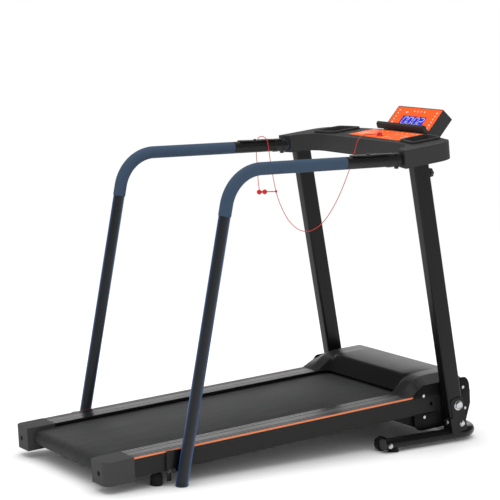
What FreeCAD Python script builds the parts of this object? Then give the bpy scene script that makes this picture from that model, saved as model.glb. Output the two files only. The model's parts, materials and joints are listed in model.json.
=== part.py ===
"""Folding walking treadmill with long handrails, +X forward, +Y the walker's left, +Z up.

The floor frame, uprights, console and handrails stand still.  The running deck turns on two
pivot bolts at the front, so most deck pieces are drawn in a deck frame whose origin is that
pivot: U runs forward along the deck and W stands off it.
"""
import FreeCAD, Part
import math
import os
import Sketcher
from FreeCAD import Placement, Rotation, Vector

doc = FreeCAD.newDocument("Treadmill")

# ---------------------------------------------------------------- driving dimensions (mm, degrees)
DIMENSIONS = {
    # floor frame
    "tube_dia": 38, "tube_wall": 2, "leg_y": 342, "frame_z": 28, "frame_front": 688,
    "frame_rear": 290, "frame_bend": 70, "wheel_dia": 47, "wheel_wide": 20, "wheel_x": 306,
    "wheel_y": 309, "pad_dia": 36,
    # uprights and the channels they stand in
    "post_deep": 60, "post_wide": 40, "post_y": 340, "post_foot_x": 605, "post_lean": 10.9,
    "post_top": 1006, "channel_wall": 3, "channel_top": 156, "pivot_bolt_dia": 16,
    # console, sloping up to the front
    "console_x": 336, "console_z": 998, "console_slope": 6.5, "console_deep": 60,
    "console_half": 367, "console_arm": 312, "console_edge": 97, "console_front": 270,
    "console_side": 226, "shell": 3, "tray_near": 110, "tray_long": 106, "tray_in": 194,
    "tray_out": 284, "tray_skew": 19, "tray_depth": 12, "panel_in": 112, "panel_out": 256,
    "panel_half": 172,
    # display
    "display_x": 626, "display_z": 1026, "display_slope": 48.7, "display_wide": 254,
    "display_tall": 105, "display_thick": 51, "lcd_wide": 132, "lcd_tall": 38, "lcd_low": 28,
    # handrails
    "rail_y": 335, "rail_dia": 38, "sleeve_dia": 41, "rail_foot_x": -479, "rail_lean": 10.8,
    "rail_top": 967, "rail_bend": 130, "rail_end": 383, "sleeve_low": 827, "sleeve_front": 131,
    "grip_end": 339, "foot_cap_dia": 42,
    # running deck, in the deck frame
    "pivot_x": 587, "pivot_z": 128, "deck_tilt": 3.1, "deck_rear": 1320, "deck_half": 310,
    "step_in": 221, "step_top": 44, "step_thick": 9, "step_end": 149, "beam_low": 21,
    "beam_top": 34.5, "beam_out": 308, "beam_wide": 25, "cap_long": 102, "cap_low": 32,
    "belt_half": 210, "belt_thick": 2, "roller_rad": 23, "roller_w": 8, "rear_roller": 1275,
    "front_roller": 72, "axle_dia": 12, "board_thick": 17, "board_half": 250, "hood_top": 98,
    "hood_half": 309, "hood_rear": 135, "hood_front": 95, "pan_low": 77, "plate_thick": 3,
    "motor_rad": 38, "motor_u": 12, "motor_w": 28, "drive_y": 232, "big_pulley": 38,
    "small_pulley": 14, "foot_u": 1127, "foot_y": 281,
    # lanyard
    "cord_dia": 2.6,
}

sheet = doc.addObject("Spreadsheet::Sheet", "Dimensions")
for row, (alias, number) in enumerate(DIMENSIONS.items(), start=1):
    sheet.set(f"A{row}", alias)
    sheet.set(f"B{row}", str(number))
    sheet.setAlias(f"B{row}", alias)
doc.recompute()


class Size:
    """A length that keeps both its number and the sheet formula behind it."""

    def __init__(self, value, text=None):
        self.value = float(value)
        self.text = text or f"({value:g})"

    def join(self, other, sign, value):
        other = as_size(other)
        return Size(value, f"({self.text} {sign} {other.text})")

    def __add__(self, other):
        return self.join(other, "+", self.value + as_size(other).value)

    def __sub__(self, other):
        return self.join(other, "-", self.value - as_size(other).value)

    def __mul__(self, other):
        return self.join(other, "*", self.value * as_size(other).value)

    def __truediv__(self, other):
        return self.join(other, "/", self.value / as_size(other).value)

    def __neg__(self):
        return Size(-self.value, f"(0 - {self.text})")

    def __float__(self):
        return self.value

    __radd__ = __add__


def as_size(value):
    return value if isinstance(value, Size) else Size(value)


class Sizes:
    """Every sheet cell, read by name as a Size."""

    def __getattr__(self, name):
        return Size(DIMENSIONS[name], f"Dimensions.{name}")


d = Sizes()
SIDES = (("left", 1), ("right", -1))
PIECES = []
Y_AXIS = Vector(0, 1, 0)


def tilted(x, z, degrees, y=0):
    """A frame at (x, y, z) whose own X axis rises to the front by the given angle."""
    return Placement(Vector(float(x), y, float(z)), Rotation(Y_AXIS, -float(degrees)))


WORLD = Placement()
DECK = tilted(d.pivot_x, d.pivot_z, d.deck_tilt)
CONSOLE = tilted(d.console_x, d.console_z, d.console_slope)
DISPLAY = tilted(d.display_x, d.display_z, d.display_slope)


def post_frame(side):
    """The frame of one upright: own Z runs up the leaning post from the floor."""
    return tilted(d.post_foot_x, 0, d.post_lean, side * float(d.post_y))


# ---------------------------------------------------------------- building blocks
class Piece:
    """One sub-part made of sketches and features in its own PartDesign body."""

    def __init__(self, label, frame=WORLD):
        self.body = doc.addObject("PartDesign::Body", label)
        self.body.Label = label
        self.body.Placement = frame
        self.count = 0
        PIECES.append(self.body)

    def sketch(self, plane, shift):
        self.count += 1
        sketch = self.body.newObject("Sketcher::SketchObject", f"{self.body.Label}_sketch{self.count}")
        for origin in self.body.Origin.OriginFeatures:
            if origin.Role == f"{plane}_Plane":
                sketch.AttachmentSupport = [(origin, "")]
        sketch.MapMode = "FlatFace"
        sketch.AttachmentOffset = Placement(Vector(0, 0, float(shift)), Rotation())
        return sketch

    def feature(self, kind, sketch, depth, both):
        feature = self.body.newObject(f"PartDesign::{kind}", f"{sketch.Name}_{kind}")
        feature.Profile = (sketch, [""])
        feature.Midplane = both
        bind(feature, "Length", depth)
        sketch.Visibility = False
        self.body.Tip = feature
        doc.recompute()
        return feature

    def shape(self, kind, plane, outline, depth, mid):
        shift = -as_size(mid) if plane == "XZ" else as_size(mid)
        sketch = self.sketch(plane, shift)
        if isinstance(outline, Circle):
            draw_circle(sketch, outline)
        else:
            draw_outline(sketch, outline)
        return self.feature(kind, sketch, depth, True)

    def add(self, plane, outline, depth, mid=0):
        """Pad an outline, half the depth each way from the plane at mid."""
        self.shape("Pad", plane, outline, depth, mid)
        return self

    def cut(self, plane, outline, depth, mid=0):
        """Pocket an outline the same way, and make sure that it took something away."""
        before = self.body.Shape.Volume
        self.shape("Pocket", plane, outline, depth, mid)
        if self.body.Shape.Volume > before - 1e-6:
            raise RuntimeError(f"a pocket of {self.body.Label} cuts nothing")
        return self

    def round(self, radius, axis, keep=lambda point: True):
        """Fillet the straight edges that run along an axis and whose middle passes keep."""
        tip = self.body.Tip
        names = []
        for number, edge in enumerate(tip.Shape.Edges, start=1):
            if not isinstance(edge.Curve, Part.Line):
                continue
            if abs(edge.Curve.Direction.dot(axis)) > 0.999 and keep(edge.CenterOfMass):
                names.append(f"Edge{number}")
        fillet = self.body.newObject("PartDesign::Fillet", f"{self.body.Label}_fillet{self.count}")
        fillet.Base = (tip, names)
        bind(fillet, "Radius", radius)
        self.body.Tip = fillet
        doc.recompute()
        return self


class Circle:
    def __init__(self, across, up, radius):
        self.across, self.up, self.radius = across, up, radius


def bind(target, name, value):
    value = as_size(value)
    setattr(target, name, value.value)
    target.setExpression(name, value.text)


def pin_point(sketch, geometry, which, across, up):
    """Hold one point of a sketch at a place given by two sheet formulas."""
    for kind, axis, value in (("DistanceX", -2, across), ("DistanceY", -1, up)):
        value = as_size(value)
        if abs(value.value) < 1e-9:
            sketch.addConstraint(Sketcher.Constraint("PointOnObject", geometry, which, axis))
            continue
        number = sketch.addConstraint(
            Sketcher.Constraint(kind, -1, 1, geometry, which, value.value))
        sketch.setExpression(f"Constraints[{number}]", value.text)


def draw_outline(sketch, points):
    corners = [Vector(float(across), float(up), 0) for across, up in points]
    for start, end in zip(corners, corners[1:] + corners[:1]):
        sketch.addGeometry(Part.LineSegment(start, end), False)
    for number in range(len(points)):
        following = (number + 1) % len(points)
        sketch.addConstraint(Sketcher.Constraint("Coincident", number, 2, following, 1))
        pin_point(sketch, number, 1, *points[number])


def draw_circle(sketch, circle):
    centre = Vector(float(circle.across), float(circle.up), 0)
    sketch.addGeometry(Part.Circle(centre, Vector(0, 0, 1), float(circle.radius)), False)
    pin_point(sketch, 0, 3, circle.across, circle.up)
    number = sketch.addConstraint(Sketcher.Constraint("Radius", 0, float(circle.radius)))
    sketch.setExpression(f"Constraints[{number}]", as_size(circle.radius).text)


def box(low_x, high_x, low_y, high_y):
    """The four corners of an upright rectangle in a sketch."""
    return [(low_x, low_y), (high_x, low_y), (high_x, high_y), (low_x, high_y)]


def bevelled(half_x, half_y, corner):
    """A centred rectangle with its corners cut off."""
    near_x, near_y = half_x - corner, half_y - corner
    return [(near_x, half_y), (half_x, near_y), (half_x, -near_y), (near_x, -half_y),
            (-near_x, -half_y), (-half_x, -near_y), (-half_x, near_y), (-near_x, half_y)]


def shaped(label, shape, frame=WORLD):
    """A sub-part whose shape is worked out directly, for sweeps and groups."""
    item = doc.addObject("Part::Feature", label)
    item.Label = label
    item.Shape = shape
    item.Placement = frame
    PIECES.append(item)
    return item


def slab(outline, low, high):
    """A plate with the given plan between two heights."""
    ring = Part.makePolygon([Vector(float(x), float(y), low) for x, y in outline + outline[:1]])
    return Part.Face(ring).extrude(Vector(0, 0, high - low))


def rod(start, end, radius):
    """A cylinder between two points."""
    along = Vector(*end) - Vector(*start)
    return Part.makeCylinder(float(radius), along.Length, Vector(*start), along)


def hex_bolt(seat, out, across_flats, head, shank_radius, shank):
    """A hex bolt: the head stands out from the seat along out, the shank runs back in."""
    out = Vector(*out).normalize()
    seat = Vector(*seat)
    radius = across_flats / math.sqrt(3)
    ring = [Vector(radius * math.cos(turn), radius * math.sin(turn), 0)
            for turn in (math.radians(60 * step) for step in range(7))]
    nut = Part.Face(Part.makePolygon(ring)).extrude(Vector(0, 0, head))
    nut.Placement = Placement(seat, Rotation(Vector(0, 0, 1), out))
    return nut.fuse(Part.makeCylinder(shank_radius, shank, seat, -out)).removeSplitter()


def rounded_path(points, radii):
    """Straight runs joined by tangent arcs: one radius for each inner point."""
    edges = []
    start = points[0]
    for before, corner, after, radius in zip(points, points[1:], points[2:], radii):
        back = (before - corner).normalize()
        ahead = (after - corner).normalize()
        turn = math.pi - back.getAngle(ahead)
        reach = radius * math.tan(turn / 2)
        first, last = corner + back * reach, corner + ahead * reach
        toward = (back + ahead).normalize()
        middle = corner + toward * (radius / math.cos(turn / 2) - radius)
        edges += [Part.LineSegment(start, first).toShape(), Part.Arc(first, middle, last).toShape()]
        start = last
    edges.append(Part.LineSegment(start, points[-1]).toShape())
    return Part.Wire(edges)


def sweep(path, radius):
    """A round bar along a path."""
    first = path.Edges[0]
    heading = first.tangentAt(first.FirstParameter)
    ring = Part.Wire(Part.makeCircle(radius, first.valueAt(first.FirstParameter), heading))
    return path.makePipeShell([ring], True, False)


def pipe(path, outer, inner):
    return sweep(path, outer).cut(sweep(path, inner))


def drilled(shape, bolts):
    """The shape with room cut for the given left-hand bolts and their twins."""
    return shape.cut([solid for bolt in bolts for solid in mirrored(bolt).Solids])


def mirrored(shape):
    """The shape and its twin across the middle of the treadmill, as one compound."""
    return Part.makeCompound([shape, shape.mirror(Vector(0, 0, 0), Y_AXIS)])


# ---------------------------------------------------------------- floor frame and uprights
def floor_frame():
    """The bent floor tube with its two welded channels, one solid."""
    radius = float(d.tube_dia) / 2
    bore = radius - float(d.tube_wall)
    front, rear, leg = float(d.frame_front), float(d.frame_rear), float(d.leg_y)
    level, bend = float(d.frame_z), float(d.frame_bend)
    points = [Vector(rear, -leg, level), Vector(front, -leg, level),
              Vector(front, leg, level), Vector(rear, leg, level)]
    path = rounded_path(points, [bend, bend])
    tube = sweep(path, radius)
    channels = [channel(side) for _, side in SIDES]
    tube = tube.fuse(channels).cut(sweep(path, bore)).removeSplitter()
    shaped("floor_frame", drilled(tube, left_bolts()))


def channel(side):
    """Outer, inner and rear walls that hold the foot of one upright."""
    wall, top = float(d.channel_wall), float(d.channel_top)
    half_x, half_y = float(d.post_deep) / 2 + 0.3, float(d.post_wide) / 2 + 0.3
    frame = post_frame(side)
    low = 36
    side_wall = Part.makeBox(2 * half_x - 8, wall, top - low, Vector(-half_x + 8, half_y, low))
    corners = [edge for edge in side_wall.Edges
               if abs(edge.tangentAt(0).y) > 0.9 and edge.CenterOfMass.z > top - 1]
    side_wall = side_wall.makeFillet(12, corners)
    twin = side_wall.mirror(Vector(0, 0, 0), Y_AXIS)
    rear = Part.makeBox(wall, 2 * (half_y + wall), 56, Vector(-half_x - wall, -half_y - wall, low))
    links = [Part.makeBox(12 + wall, wall, 56, Vector(-half_x - wall, place, low))
             for place in (half_y, -half_y - wall)]
    walls = side_wall.fuse([twin, rear] + links)
    walls.Placement = frame
    pivot = (float(d.pivot_x), side * 200, float(d.pivot_z))
    end = (float(d.pivot_x), side * 420, float(d.pivot_z))
    return walls.cut(rod(pivot, end, float(d.pivot_bolt_dia) / 2 + 0.05)).removeSplitter()


def tube_plugs():
    """Plastic plugs in the two rear ends of the floor tube."""
    bore = float(d.tube_dia) / 2 - float(d.tube_wall) - 0.1
    rear, leg, level = float(d.frame_rear), float(d.leg_y), float(d.frame_z)
    plug = rod((rear - 4, leg, level), (rear - 0.2, leg, level), float(d.tube_dia) / 2)
    plug = plug.fuse(rod((rear - 0.2, leg, level), (rear + 9, leg, level), bore))
    shaped("tube_plugs", mirrored(plug.removeSplitter()))


def floor_pads():
    """Rubber pads under the floor tube, each with a saddle shaped to the tube."""
    leg, level, radius = float(d.leg_y), float(d.frame_z), float(d.pad_dia) / 2
    rear, front, reach = float(d.frame_rear) + 42, float(d.frame_front), 60
    pads = []
    for x, y, along in ((rear, leg, Vector(reach, 0, 0)), (front, leg - 122, Vector(0, reach, 0))):
        centre = Vector(x, y, level)
        tube = rod(tuple(centre - along), tuple(centre + along), float(d.tube_dia) / 2 + 0.1)
        pads.append(Part.makeCone(radius, radius - 3, 16, Vector(x, y, 0)).cut(tube))
    shaped("floor_pads", Part.makeCompound([mirrored(pad) for pad in pads]))


def uprights():
    for name, side in SIDES:
        deep, wide = d.post_deep / 2, d.post_wide / 2
        post = Piece(f"upright_{name}", post_frame(side))
        middle = (d.post_top + 54) / 2
        post.add("XY", box(-deep, deep, -wide, wide), d.post_top - 54, middle)
        post.round(8, Vector(0, 0, 1))
        post.cut("XY", bevelled(deep - d.tube_wall, wide - d.tube_wall, 4), d.post_top, middle)
        local = post_frame(side).inverse().multVec(Vector(float(d.pivot_x), 0, float(d.pivot_z)))
        hole = Circle(local.x, local.z, d.pivot_bolt_dia / 2 + 0.05)
        post.cut("XZ", hole, d.post_wide + 10)


def pivot_bolts():
    """Hex bolts that the running deck turns on."""
    seat = float(d.post_y) + float(d.post_wide) / 2 + 0.3 + float(d.channel_wall)
    bolt = hex_bolt((float(d.pivot_x), seat, float(d.pivot_z)), (0, 1, 0), 25, 8,
                    float(d.pivot_bolt_dia) / 2, seat - 288)
    shaped("pivot_bolts", mirrored(bolt))


def left_bolts():
    """Left-hand bolts of the fixed frame: upright foot, wheel axle and handrail bracket."""
    bolts = []
    seat_y = float(d.post_y) + float(d.post_wide) / 2 + 0.3 + float(d.channel_wall)
    frame = post_frame(1)
    low = frame.multVec(Vector(12, 0, 62))
    bolts.append(hex_bolt((low.x, seat_y, low.z), (0, 1, 0), 15, 5.5, 3.9, 3.2))
    back = Vector(-float(d.post_deep) / 2 - 0.3 - float(d.channel_wall), 0, 78)
    bolts.append(hex_bolt(tuple(frame.multVec(back)), tuple(frame.Rotation.multVec(Vector(-1, 0, 0))),
                          15, 5.5, 3.9, 3.2))
    leg_out = float(d.leg_y) + float(d.tube_dia) / 2
    axle = float(d.wheel_dia) / 2 + 0.3
    bolts.append(hex_bolt((float(d.wheel_x), leg_out, axle), (0, 1, 0), 13, 5, 4,
                          leg_out - float(d.wheel_y) + float(d.wheel_wide) / 2 + 2))
    return bolts + bracket_bolts()


def frame_bolts():
    shaped("frame_bolts", Part.makeCompound([mirrored(bolt) for bolt in left_bolts()]))


def bracket_bolts():
    """The two bolts of the left handrail bracket."""
    seat = float(d.rail_y) - float(d.rail_dia) / 2 - 0.2
    return [hex_bolt((x, seat, 48), (0, 1, 0), 11, 5, 2.9, 1.5) for x in (-513, -497)]


def wheels():
    """Transport wheels inboard of the two legs, turning on their axle bolts."""
    for name, side in SIDES:
        wheel = Piece(f"transport_wheel_{name}")
        radius = d.wheel_dia / 2
        rim = Circle(d.wheel_x, radius + 0.3, radius)
        wheel.add("XZ", rim, d.wheel_wide, d.wheel_y * side)
        wheel.cut("XZ", Circle(d.wheel_x, radius + 0.3, 4.08), d.wheel_wide + 4, d.wheel_y * side)
        face = float(d.wheel_y) + float(d.wheel_wide) / 2
        for place in (face, face - float(d.wheel_wide)):
            groove = Circle(d.wheel_x, radius + 0.3, radius - 6)
            hub = Circle(d.wheel_x, radius + 0.3, 9)
            wheel.cut("XZ", groove, 5, side * place)
            middle = side * (place + (-1.25 if place == face else 1.25))
            wheel.add("XZ", hub, 2.5, middle)
            wheel.cut("XZ", Circle(d.wheel_x, radius + 0.3, 4.08), 6, side * place)


# ---------------------------------------------------------------- console
def console_outline(inset):
    """Plan of the console: two arms reach back to the handrails, the front bows forward.

    The outer corners and the inner corners of the arms are quarter ellipses, and the front is a
    parabola from the side to the middle.
    """
    half, arm = d.console_half - inset, d.console_arm + inset
    edge, front, side = d.console_edge + inset, d.console_front - inset, d.console_side - inset
    deep, wide, bow = 78, 60, 306.0
    turns = [math.radians(18 * step) for step in range(6)]
    right = [(as_size(8) + inset, half)]
    right += [(side - deep * (1 - math.sin(t)), half - wide * (1 - math.cos(t))) for t in turns]
    right += [(front - (front - side) * (y / bow) ** 2, y) for y in (262, 215, 165, 110, 40)]
    back = [(edge - 70 * (1 - math.cos(t)), arm - 90 * (1 - math.sin(t))) for t in turns]
    back.append((as_size(20) + inset, arm))
    plan = right + [(x, -as_size(y)) for x, y in reversed(right)]
    return plan + [(x, -as_size(y)) for x, y in reversed(back)] + back


def tray_outline(side, inset):
    """Plan of one tray, skewed so that its ends follow the bow of the console."""
    near, inner, outer = d.tray_near + inset, d.tray_in + inset, d.tray_out - inset
    far = d.tray_near + d.tray_long - inset
    return [(near, outer * side), (far, outer * side), (far + d.tray_skew, inner * side),
            (near + d.tray_skew, inner * side)]


def console():
    """Top shell, underside, trays, keypad and the pieces fixed in them."""
    deep, skin = d.console_deep, d.shell
    top = Piece("console_top", CONSOLE)
    top.add("XY", console_outline(0), deep - skin, (skin - deep) / 2 + 0)
    top.cut("XY", console_outline(3), deep - skin, -(deep - skin) / 2 - skin)
    for _, side in SIDES:
        top.cut("YZ", Circle(d.rail_y * side, -32.5, d.sleeve_dia / 2 + 0.6), 60, 8)
        top.cut("XY", tray_outline(side, 0), 20)
    for _, across, along in KEYS:
        top.cut("XY", Circle(across, along, 9.3), 10)
    top.cut("XY", box(d.panel_in, d.panel_out, -d.panel_half, d.panel_half), 2.4)
    top.cut("XY", box(150, 182, -38, -6), 20)

    under = Piece("console_underside", CONSOLE)
    under.add("XY", console_outline(0), skin - 0.2, -deep + skin / 2 - 0.1)
    post = d.post_deep / 2 + 1
    reach = CONSOLE.inverse().multVec(post_frame(1).multVec(Vector(0, 0, 968)))
    for side in (1, -1):
        slot = box(as_size(reach.x) - post - 4, as_size(reach.x) + post + 4,
                   (d.post_y - d.post_wide / 2 - 1) * side, (d.post_y + d.post_wide / 2 + 1) * side)
        under.cut("XY", slot, 20, -deep)

    depth = float(d.tray_depth)
    bowl = slab(tray_outline(1, 0.5), -depth - 2, 0.2).fuse(slab(tray_outline(1, -6), 0.1, 3))
    bowl = bowl.cut(slab(tray_outline(1, 3), -depth, 10)).removeSplitter()
    shaped("console_trays", mirrored(bowl), CONSOLE)

    panel = Piece("keypad_panel", CONSOLE)
    grow = 0.3
    panel.add("XY", box(d.panel_in + grow, d.panel_out - grow, -d.panel_half + grow, d.panel_half - grow),
              1.4, -0.4)
    panel.cut("XY", box(150, 182, -38, -6), 10)
    for _, across, along in KEYS:
        panel.cut("XY", Circle(across, along, 9.3), 10)

    tie = Piece("console_crossbar", CONSOLE)
    inner = d.post_y - d.post_wide / 2 - 0.3
    tie.add("XZ", box(100, 130, -52, -27), inner * 2)
    tie.cut("XZ", box(102, 128, -50, -29), inner * 2 + 5)


KEYS = (("start", 160, -70), ("stop", 160, -106), ("faster", 200, -70), ("slower", 200, -106))


def keys():
    """Push keys of the keypad, each a cap with a retaining foot below the panel."""
    for name, across, along in KEYS:
        key = Piece(f"key_{name}", CONSOLE)
        key.add("XY", Circle(across, along, 9), 4.5, -0.35)
        key.add("XY", Circle(across, along, 3), 6, -3)


def safety_socket_and_key():
    """Magnetic stop key on the keypad and the socket that it sits in."""
    socket = Piece("key_socket", CONSOLE)
    socket.add("XY", box(150.3, 181.7, -37.7, -6.3), 9, -4.2)
    socket.cut("XY", box(154, 178, -34, -10), 6, 0.6)
    key = Piece("safety_key", CONSOLE)
    key.add("XY", box(154.4, 177.6, -33.6, -10.4), 5, 0.4)
    key.add("XY", Circle(166, -22, 7), 12, 6)
    key.round(3, Vector(0, 0, 1), lambda point: point.z < 3)


def display():
    """Tilted display: housing, orange fascia, liquid crystal panel, board, neck and phone ledge."""
    wide, tall, thick = d.display_wide, d.display_tall, d.display_thick
    skin = d.shell
    housing = Piece("display_housing", DISPLAY)
    housing.add("XY", box(0, tall, -wide / 2, wide / 2), thick, -thick / 2)
    housing.round(5, Vector(0, 0, 1))
    housing.cut("XY", box(skin, tall - skin, -wide / 2 + skin, wide / 2 - skin), thick - skin + 1,
                -(thick - skin) / 2 + 0.5)
    fascia = Piece("display_fascia", DISPLAY)
    gap = skin + 0.3
    fascia.add("XY", box(gap, tall - gap, -wide / 2 + gap, wide / 2 - gap), 2, -1.4)
    lcd = box(d.lcd_low, d.lcd_low + d.lcd_tall, -d.lcd_wide / 2, d.lcd_wide / 2)
    fascia.cut("XY", lcd, 6, -1.4)
    screen = Piece("display_screen", DISPLAY)
    rim = box(d.lcd_low - 4, d.lcd_low + d.lcd_tall + 4, -d.lcd_wide / 2 - 4, d.lcd_wide / 2 + 4)
    screen.add("XY", rim, 4, -4.6)
    board = Piece("display_board", DISPLAY)
    board.add("XY", box(10, 92, -110, 110), 1.6, -14)
    board.add("XY", box(22, 60, -60, 60), 7, -10.2)
    neck = Piece("display_neck", CONSOLE)
    neck.add("XZ", [(270.6, -52), (270.6, -0.2), (286.3, -0.2), (324.4, -42.5), (318, -52)], 156)
    ledge = Piece("phone_ledge", CONSOLE)
    ledge.add("XZ", [(272, 0.4), (292, 0.4), (296, 5), (288, 5), (280, 27), (270, 30), (266, 22)], 262)


# ---------------------------------------------------------------- handrails
def rail_path(side, low, end):
    """Centre line of one handrail from height low to the forward place end."""
    lean = math.tan(math.radians(float(d.rail_lean)))
    top, foot, across = float(d.rail_top), float(d.rail_foot_x), side * float(d.rail_y)
    points = [Vector(foot + lean * low, across, low), Vector(foot + lean * top, across, top),
              Vector(end, across, top)]
    return rounded_path(points, [float(d.rail_bend)])


def handrails():
    """Bent tubes that stand on the floor and run forward into the console arms."""
    tube = float(d.rail_dia) / 2
    for name, side in SIDES:
        path = rail_path(side, 6, float(d.rail_end))
        shaped(f"handrail_{name}", pipe(path, tube, tube - float(d.tube_wall)))
    sleeves = [pipe(rail_path(side, float(d.sleeve_low), float(d.sleeve_front)),
                    float(d.sleeve_dia) / 2, tube + 0.05) for _, side in SIDES]
    shaped("handrail_sleeves", Part.makeCompound(sleeves))
    foot = Vector(float(d.rail_foot_x), float(d.rail_y), 0)
    lean = Vector(math.tan(math.radians(float(d.rail_lean))), 0, 1)
    cup = rod(tuple(foot - lean * 12), tuple(foot + lean * 12), float(d.foot_cap_dia) / 2)
    cup = cup.common(Part.makeBox(120, 120, 60, foot - Vector(60, 60, 0)))
    core = rod(tuple(foot + lean * 5.9), tuple(foot + lean * 60), tube + 0.05)
    shaped("handrail_foot_caps", mirrored(cup.cut(core)))


def grip_pads():
    """Black hand grips ahead of the sleeves, with a flat pad on top for the hand keys."""
    level, across = float(d.rail_top), float(d.rail_y)
    start, end = float(d.sleeve_front) + 0.4, float(d.grip_end)
    outer, inner = float(d.sleeve_dia) / 2, float(d.rail_dia) / 2 + 0.05
    tube = rod((start, across, level), (end, across, level), outer)
    pad = Part.makeBox(end - start - 26, 34, 5, Vector(start + 24, across - 17, level + outer - 2))
    whole = tube.fuse(pad).cut(rod((start - 1, across, level), (end + 1, across, level), inner))
    key_x, key_z = HAND_KEY_X, level + outer + 1.5
    whole = whole.cut(rod((key_x, across, key_z), (key_x, across, key_z + 5), 5.3))
    shaped("hand_grips", mirrored(whole.removeSplitter()))


HAND_KEY_X = 222


def hand_keys():
    for name, side in SIDES:
        key = Piece(f"hand_key_{name}")
        level = d.rail_top + d.sleeve_dia / 2
        key.add("XY", Circle(HAND_KEY_X, d.rail_y * side, 5), 3.5, level + 4.3)


def brackets():
    """Flat plates between the handrails and the deck, with the bolts through them."""
    thin = 1.6
    face = float(d.rail_y) - float(d.rail_dia) / 2
    rear, front = -521, -463
    outline = [(rear, 16), (-504, 16), (-504, 42), (front, 42), (front, 112), (rear, 112), (rear, 16)]
    ring = Part.makePolygon([Vector(x, face - thin - 0.2, z) for x, z in outline])
    plate = Part.Face(ring).extrude(Vector(0, thin, 0))
    shaped("handrail_brackets", drilled(mirrored(plate), bracket_bolts()))


def clamp_knob():
    """Hand knob on the front of the right upright, just under the console."""
    level, radius = 928, 15
    knob = Piece("clamp_knob", post_frame(-1))
    front = d.post_deep / 2 + 0.3
    knob.add("YZ", Circle(0, level, 8), 6, front + 3)
    knob.add("YZ", Circle(0, level, radius), 11, front + 11.5)
    for step in range(6):
        turn = math.radians(60 * step + 30)
        notch = Circle(17.5 * math.cos(turn), level + 17.5 * math.sin(turn), 5)
        knob.cut("YZ", notch, 30, front + 11.5)


# ---------------------------------------------------------------- running deck
def deck_frame():
    """Two steel side beams joined by cross members, one welded piece."""
    frame = Piece("deck_frame", DECK)
    inner, outer = d.beam_out - d.beam_wide, d.beam_out
    rear, front = -d.deck_rear + 30, 80
    low, top = -d.beam_low, d.beam_top
    middle = (inner + outer) / 2
    frame.add("XZ", box(rear, front, low, top), outer * 2)
    frame.cut("XZ", box(rear - 5, as_size(front) + 5, low - 5, top + 5), inner * 2)
    frame.add("XZ", box(-1150, -1120, -13, 4), inner * 2 + 4)
    for place in (-850, -550, -250):
        frame.add("XZ", box(place, place + 30, -13, 4), inner * 2 + 4)
    frame.add("XZ", box(-20, front, low, as_size(-12)), inner * 2 + 4)
    for side in (1, -1):
        hollow = box(rear + 3, as_size(front) - 3, low + 3, top - 3)
        frame.cut("XZ", hollow, d.beam_wide - 6, middle * side)
    frame.cut("XZ", Circle(0, 0, d.pivot_bolt_dia / 2 + 0.05), outer * 2 + 10)
    for place in (d.rear_roller, d.front_roller):
        frame.cut("XZ", Circle(-place, d.roller_w, d.axle_dia / 2 + 0.05), outer * 2 + 10)
    return frame


def foot_rails():
    """Grooved side steps over the beams, each with a skirt down its outer side."""
    inner, outer, top = float(d.step_in), float(d.deck_half), float(d.step_top)
    low = top - float(d.step_thick)
    start, end = -float(d.deck_rear) + float(d.cap_long) + 0.2, -float(d.step_end)
    profile = [(inner, top - 2), (inner + 2, top)]
    for groove in (inner + 9, inner + 24, inner + 62, inner + 74):
        profile += [(groove, top), (groove, top - 1.5), (groove + 4, top - 1.5), (groove + 4, top)]
    profile += [(outer - 3, top), (outer - 3, top - 3), (outer, top - 3), (outer, top - 16),
                (outer - 1.7, top - 16), (outer - 1.7, low), (inner + 3, low), (inner + 3, low - 1),
                (inner, low - 1)]
    ring = [Vector(start, y, z) for y, z in profile + profile[:1]]
    rail = Part.Face(Part.makePolygon(ring)).extrude(Vector(end - start, 0, 0))
    shaped("foot_rails", mirrored(rail), DECK)
    strip = Part.makeBox(end - start, 2.8, 2.9, Vector(start, outer - 2.9, top - 2.9))
    shaped("accent_strips", mirrored(strip), DECK)


def rear_caps():
    """Plastic end caps over the rear of each beam, hollow and open to the front."""
    rear, long = float(d.deck_rear), float(d.cap_long)
    inner, outer = float(d.step_in), float(d.deck_half)
    top, low = float(d.step_top), -float(d.cap_low)
    block = Part.makeBox(long, outer - inner, top - low, Vector(-rear, inner, low))
    corner = [edge for edge in block.Edges if abs(edge.tangentAt(0).z) > 0.9
              and edge.CenterOfMass.x < -rear + 1 and edge.CenterOfMass.y > outer - 1]
    block = block.makeFillet(25, corner)
    cavity = Part.makeBox(long, outer - inner - 5, top - low - 9, Vector(-rear + 7.6, inner + 3.2, low + 6))
    hollow = [edge for edge in cavity.Edges if abs(edge.tangentAt(0).z) > 0.9
              and edge.CenterOfMass.x < -rear + 10 and edge.CenterOfMass.y > outer - 10]
    cap = block.cut(cavity.makeFillet(22, hollow))
    cap = cap.cut(rod((-rear - 1, 266, 4), (-rear + 20, 266, 4), 8))
    axle = (-float(d.rear_roller), float(d.roller_w))
    cap = cap.cut(rod((axle[0], inner - 5, axle[1]), (axle[0], inner + 8, axle[1]), 9))
    shaped("rear_caps", mirrored(cap), DECK)


def belt_loop(piece, radius, half, front, rear):
    """Add a race-track bar round the two roller centres."""
    level = d.roller_w
    piece.add("XZ", box(-rear, -front, level - radius, level + radius), half * 2)
    piece.add("XZ", Circle(-rear, level, radius), half * 2)
    piece.add("XZ", Circle(-front, level, radius), half * 2)


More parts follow.
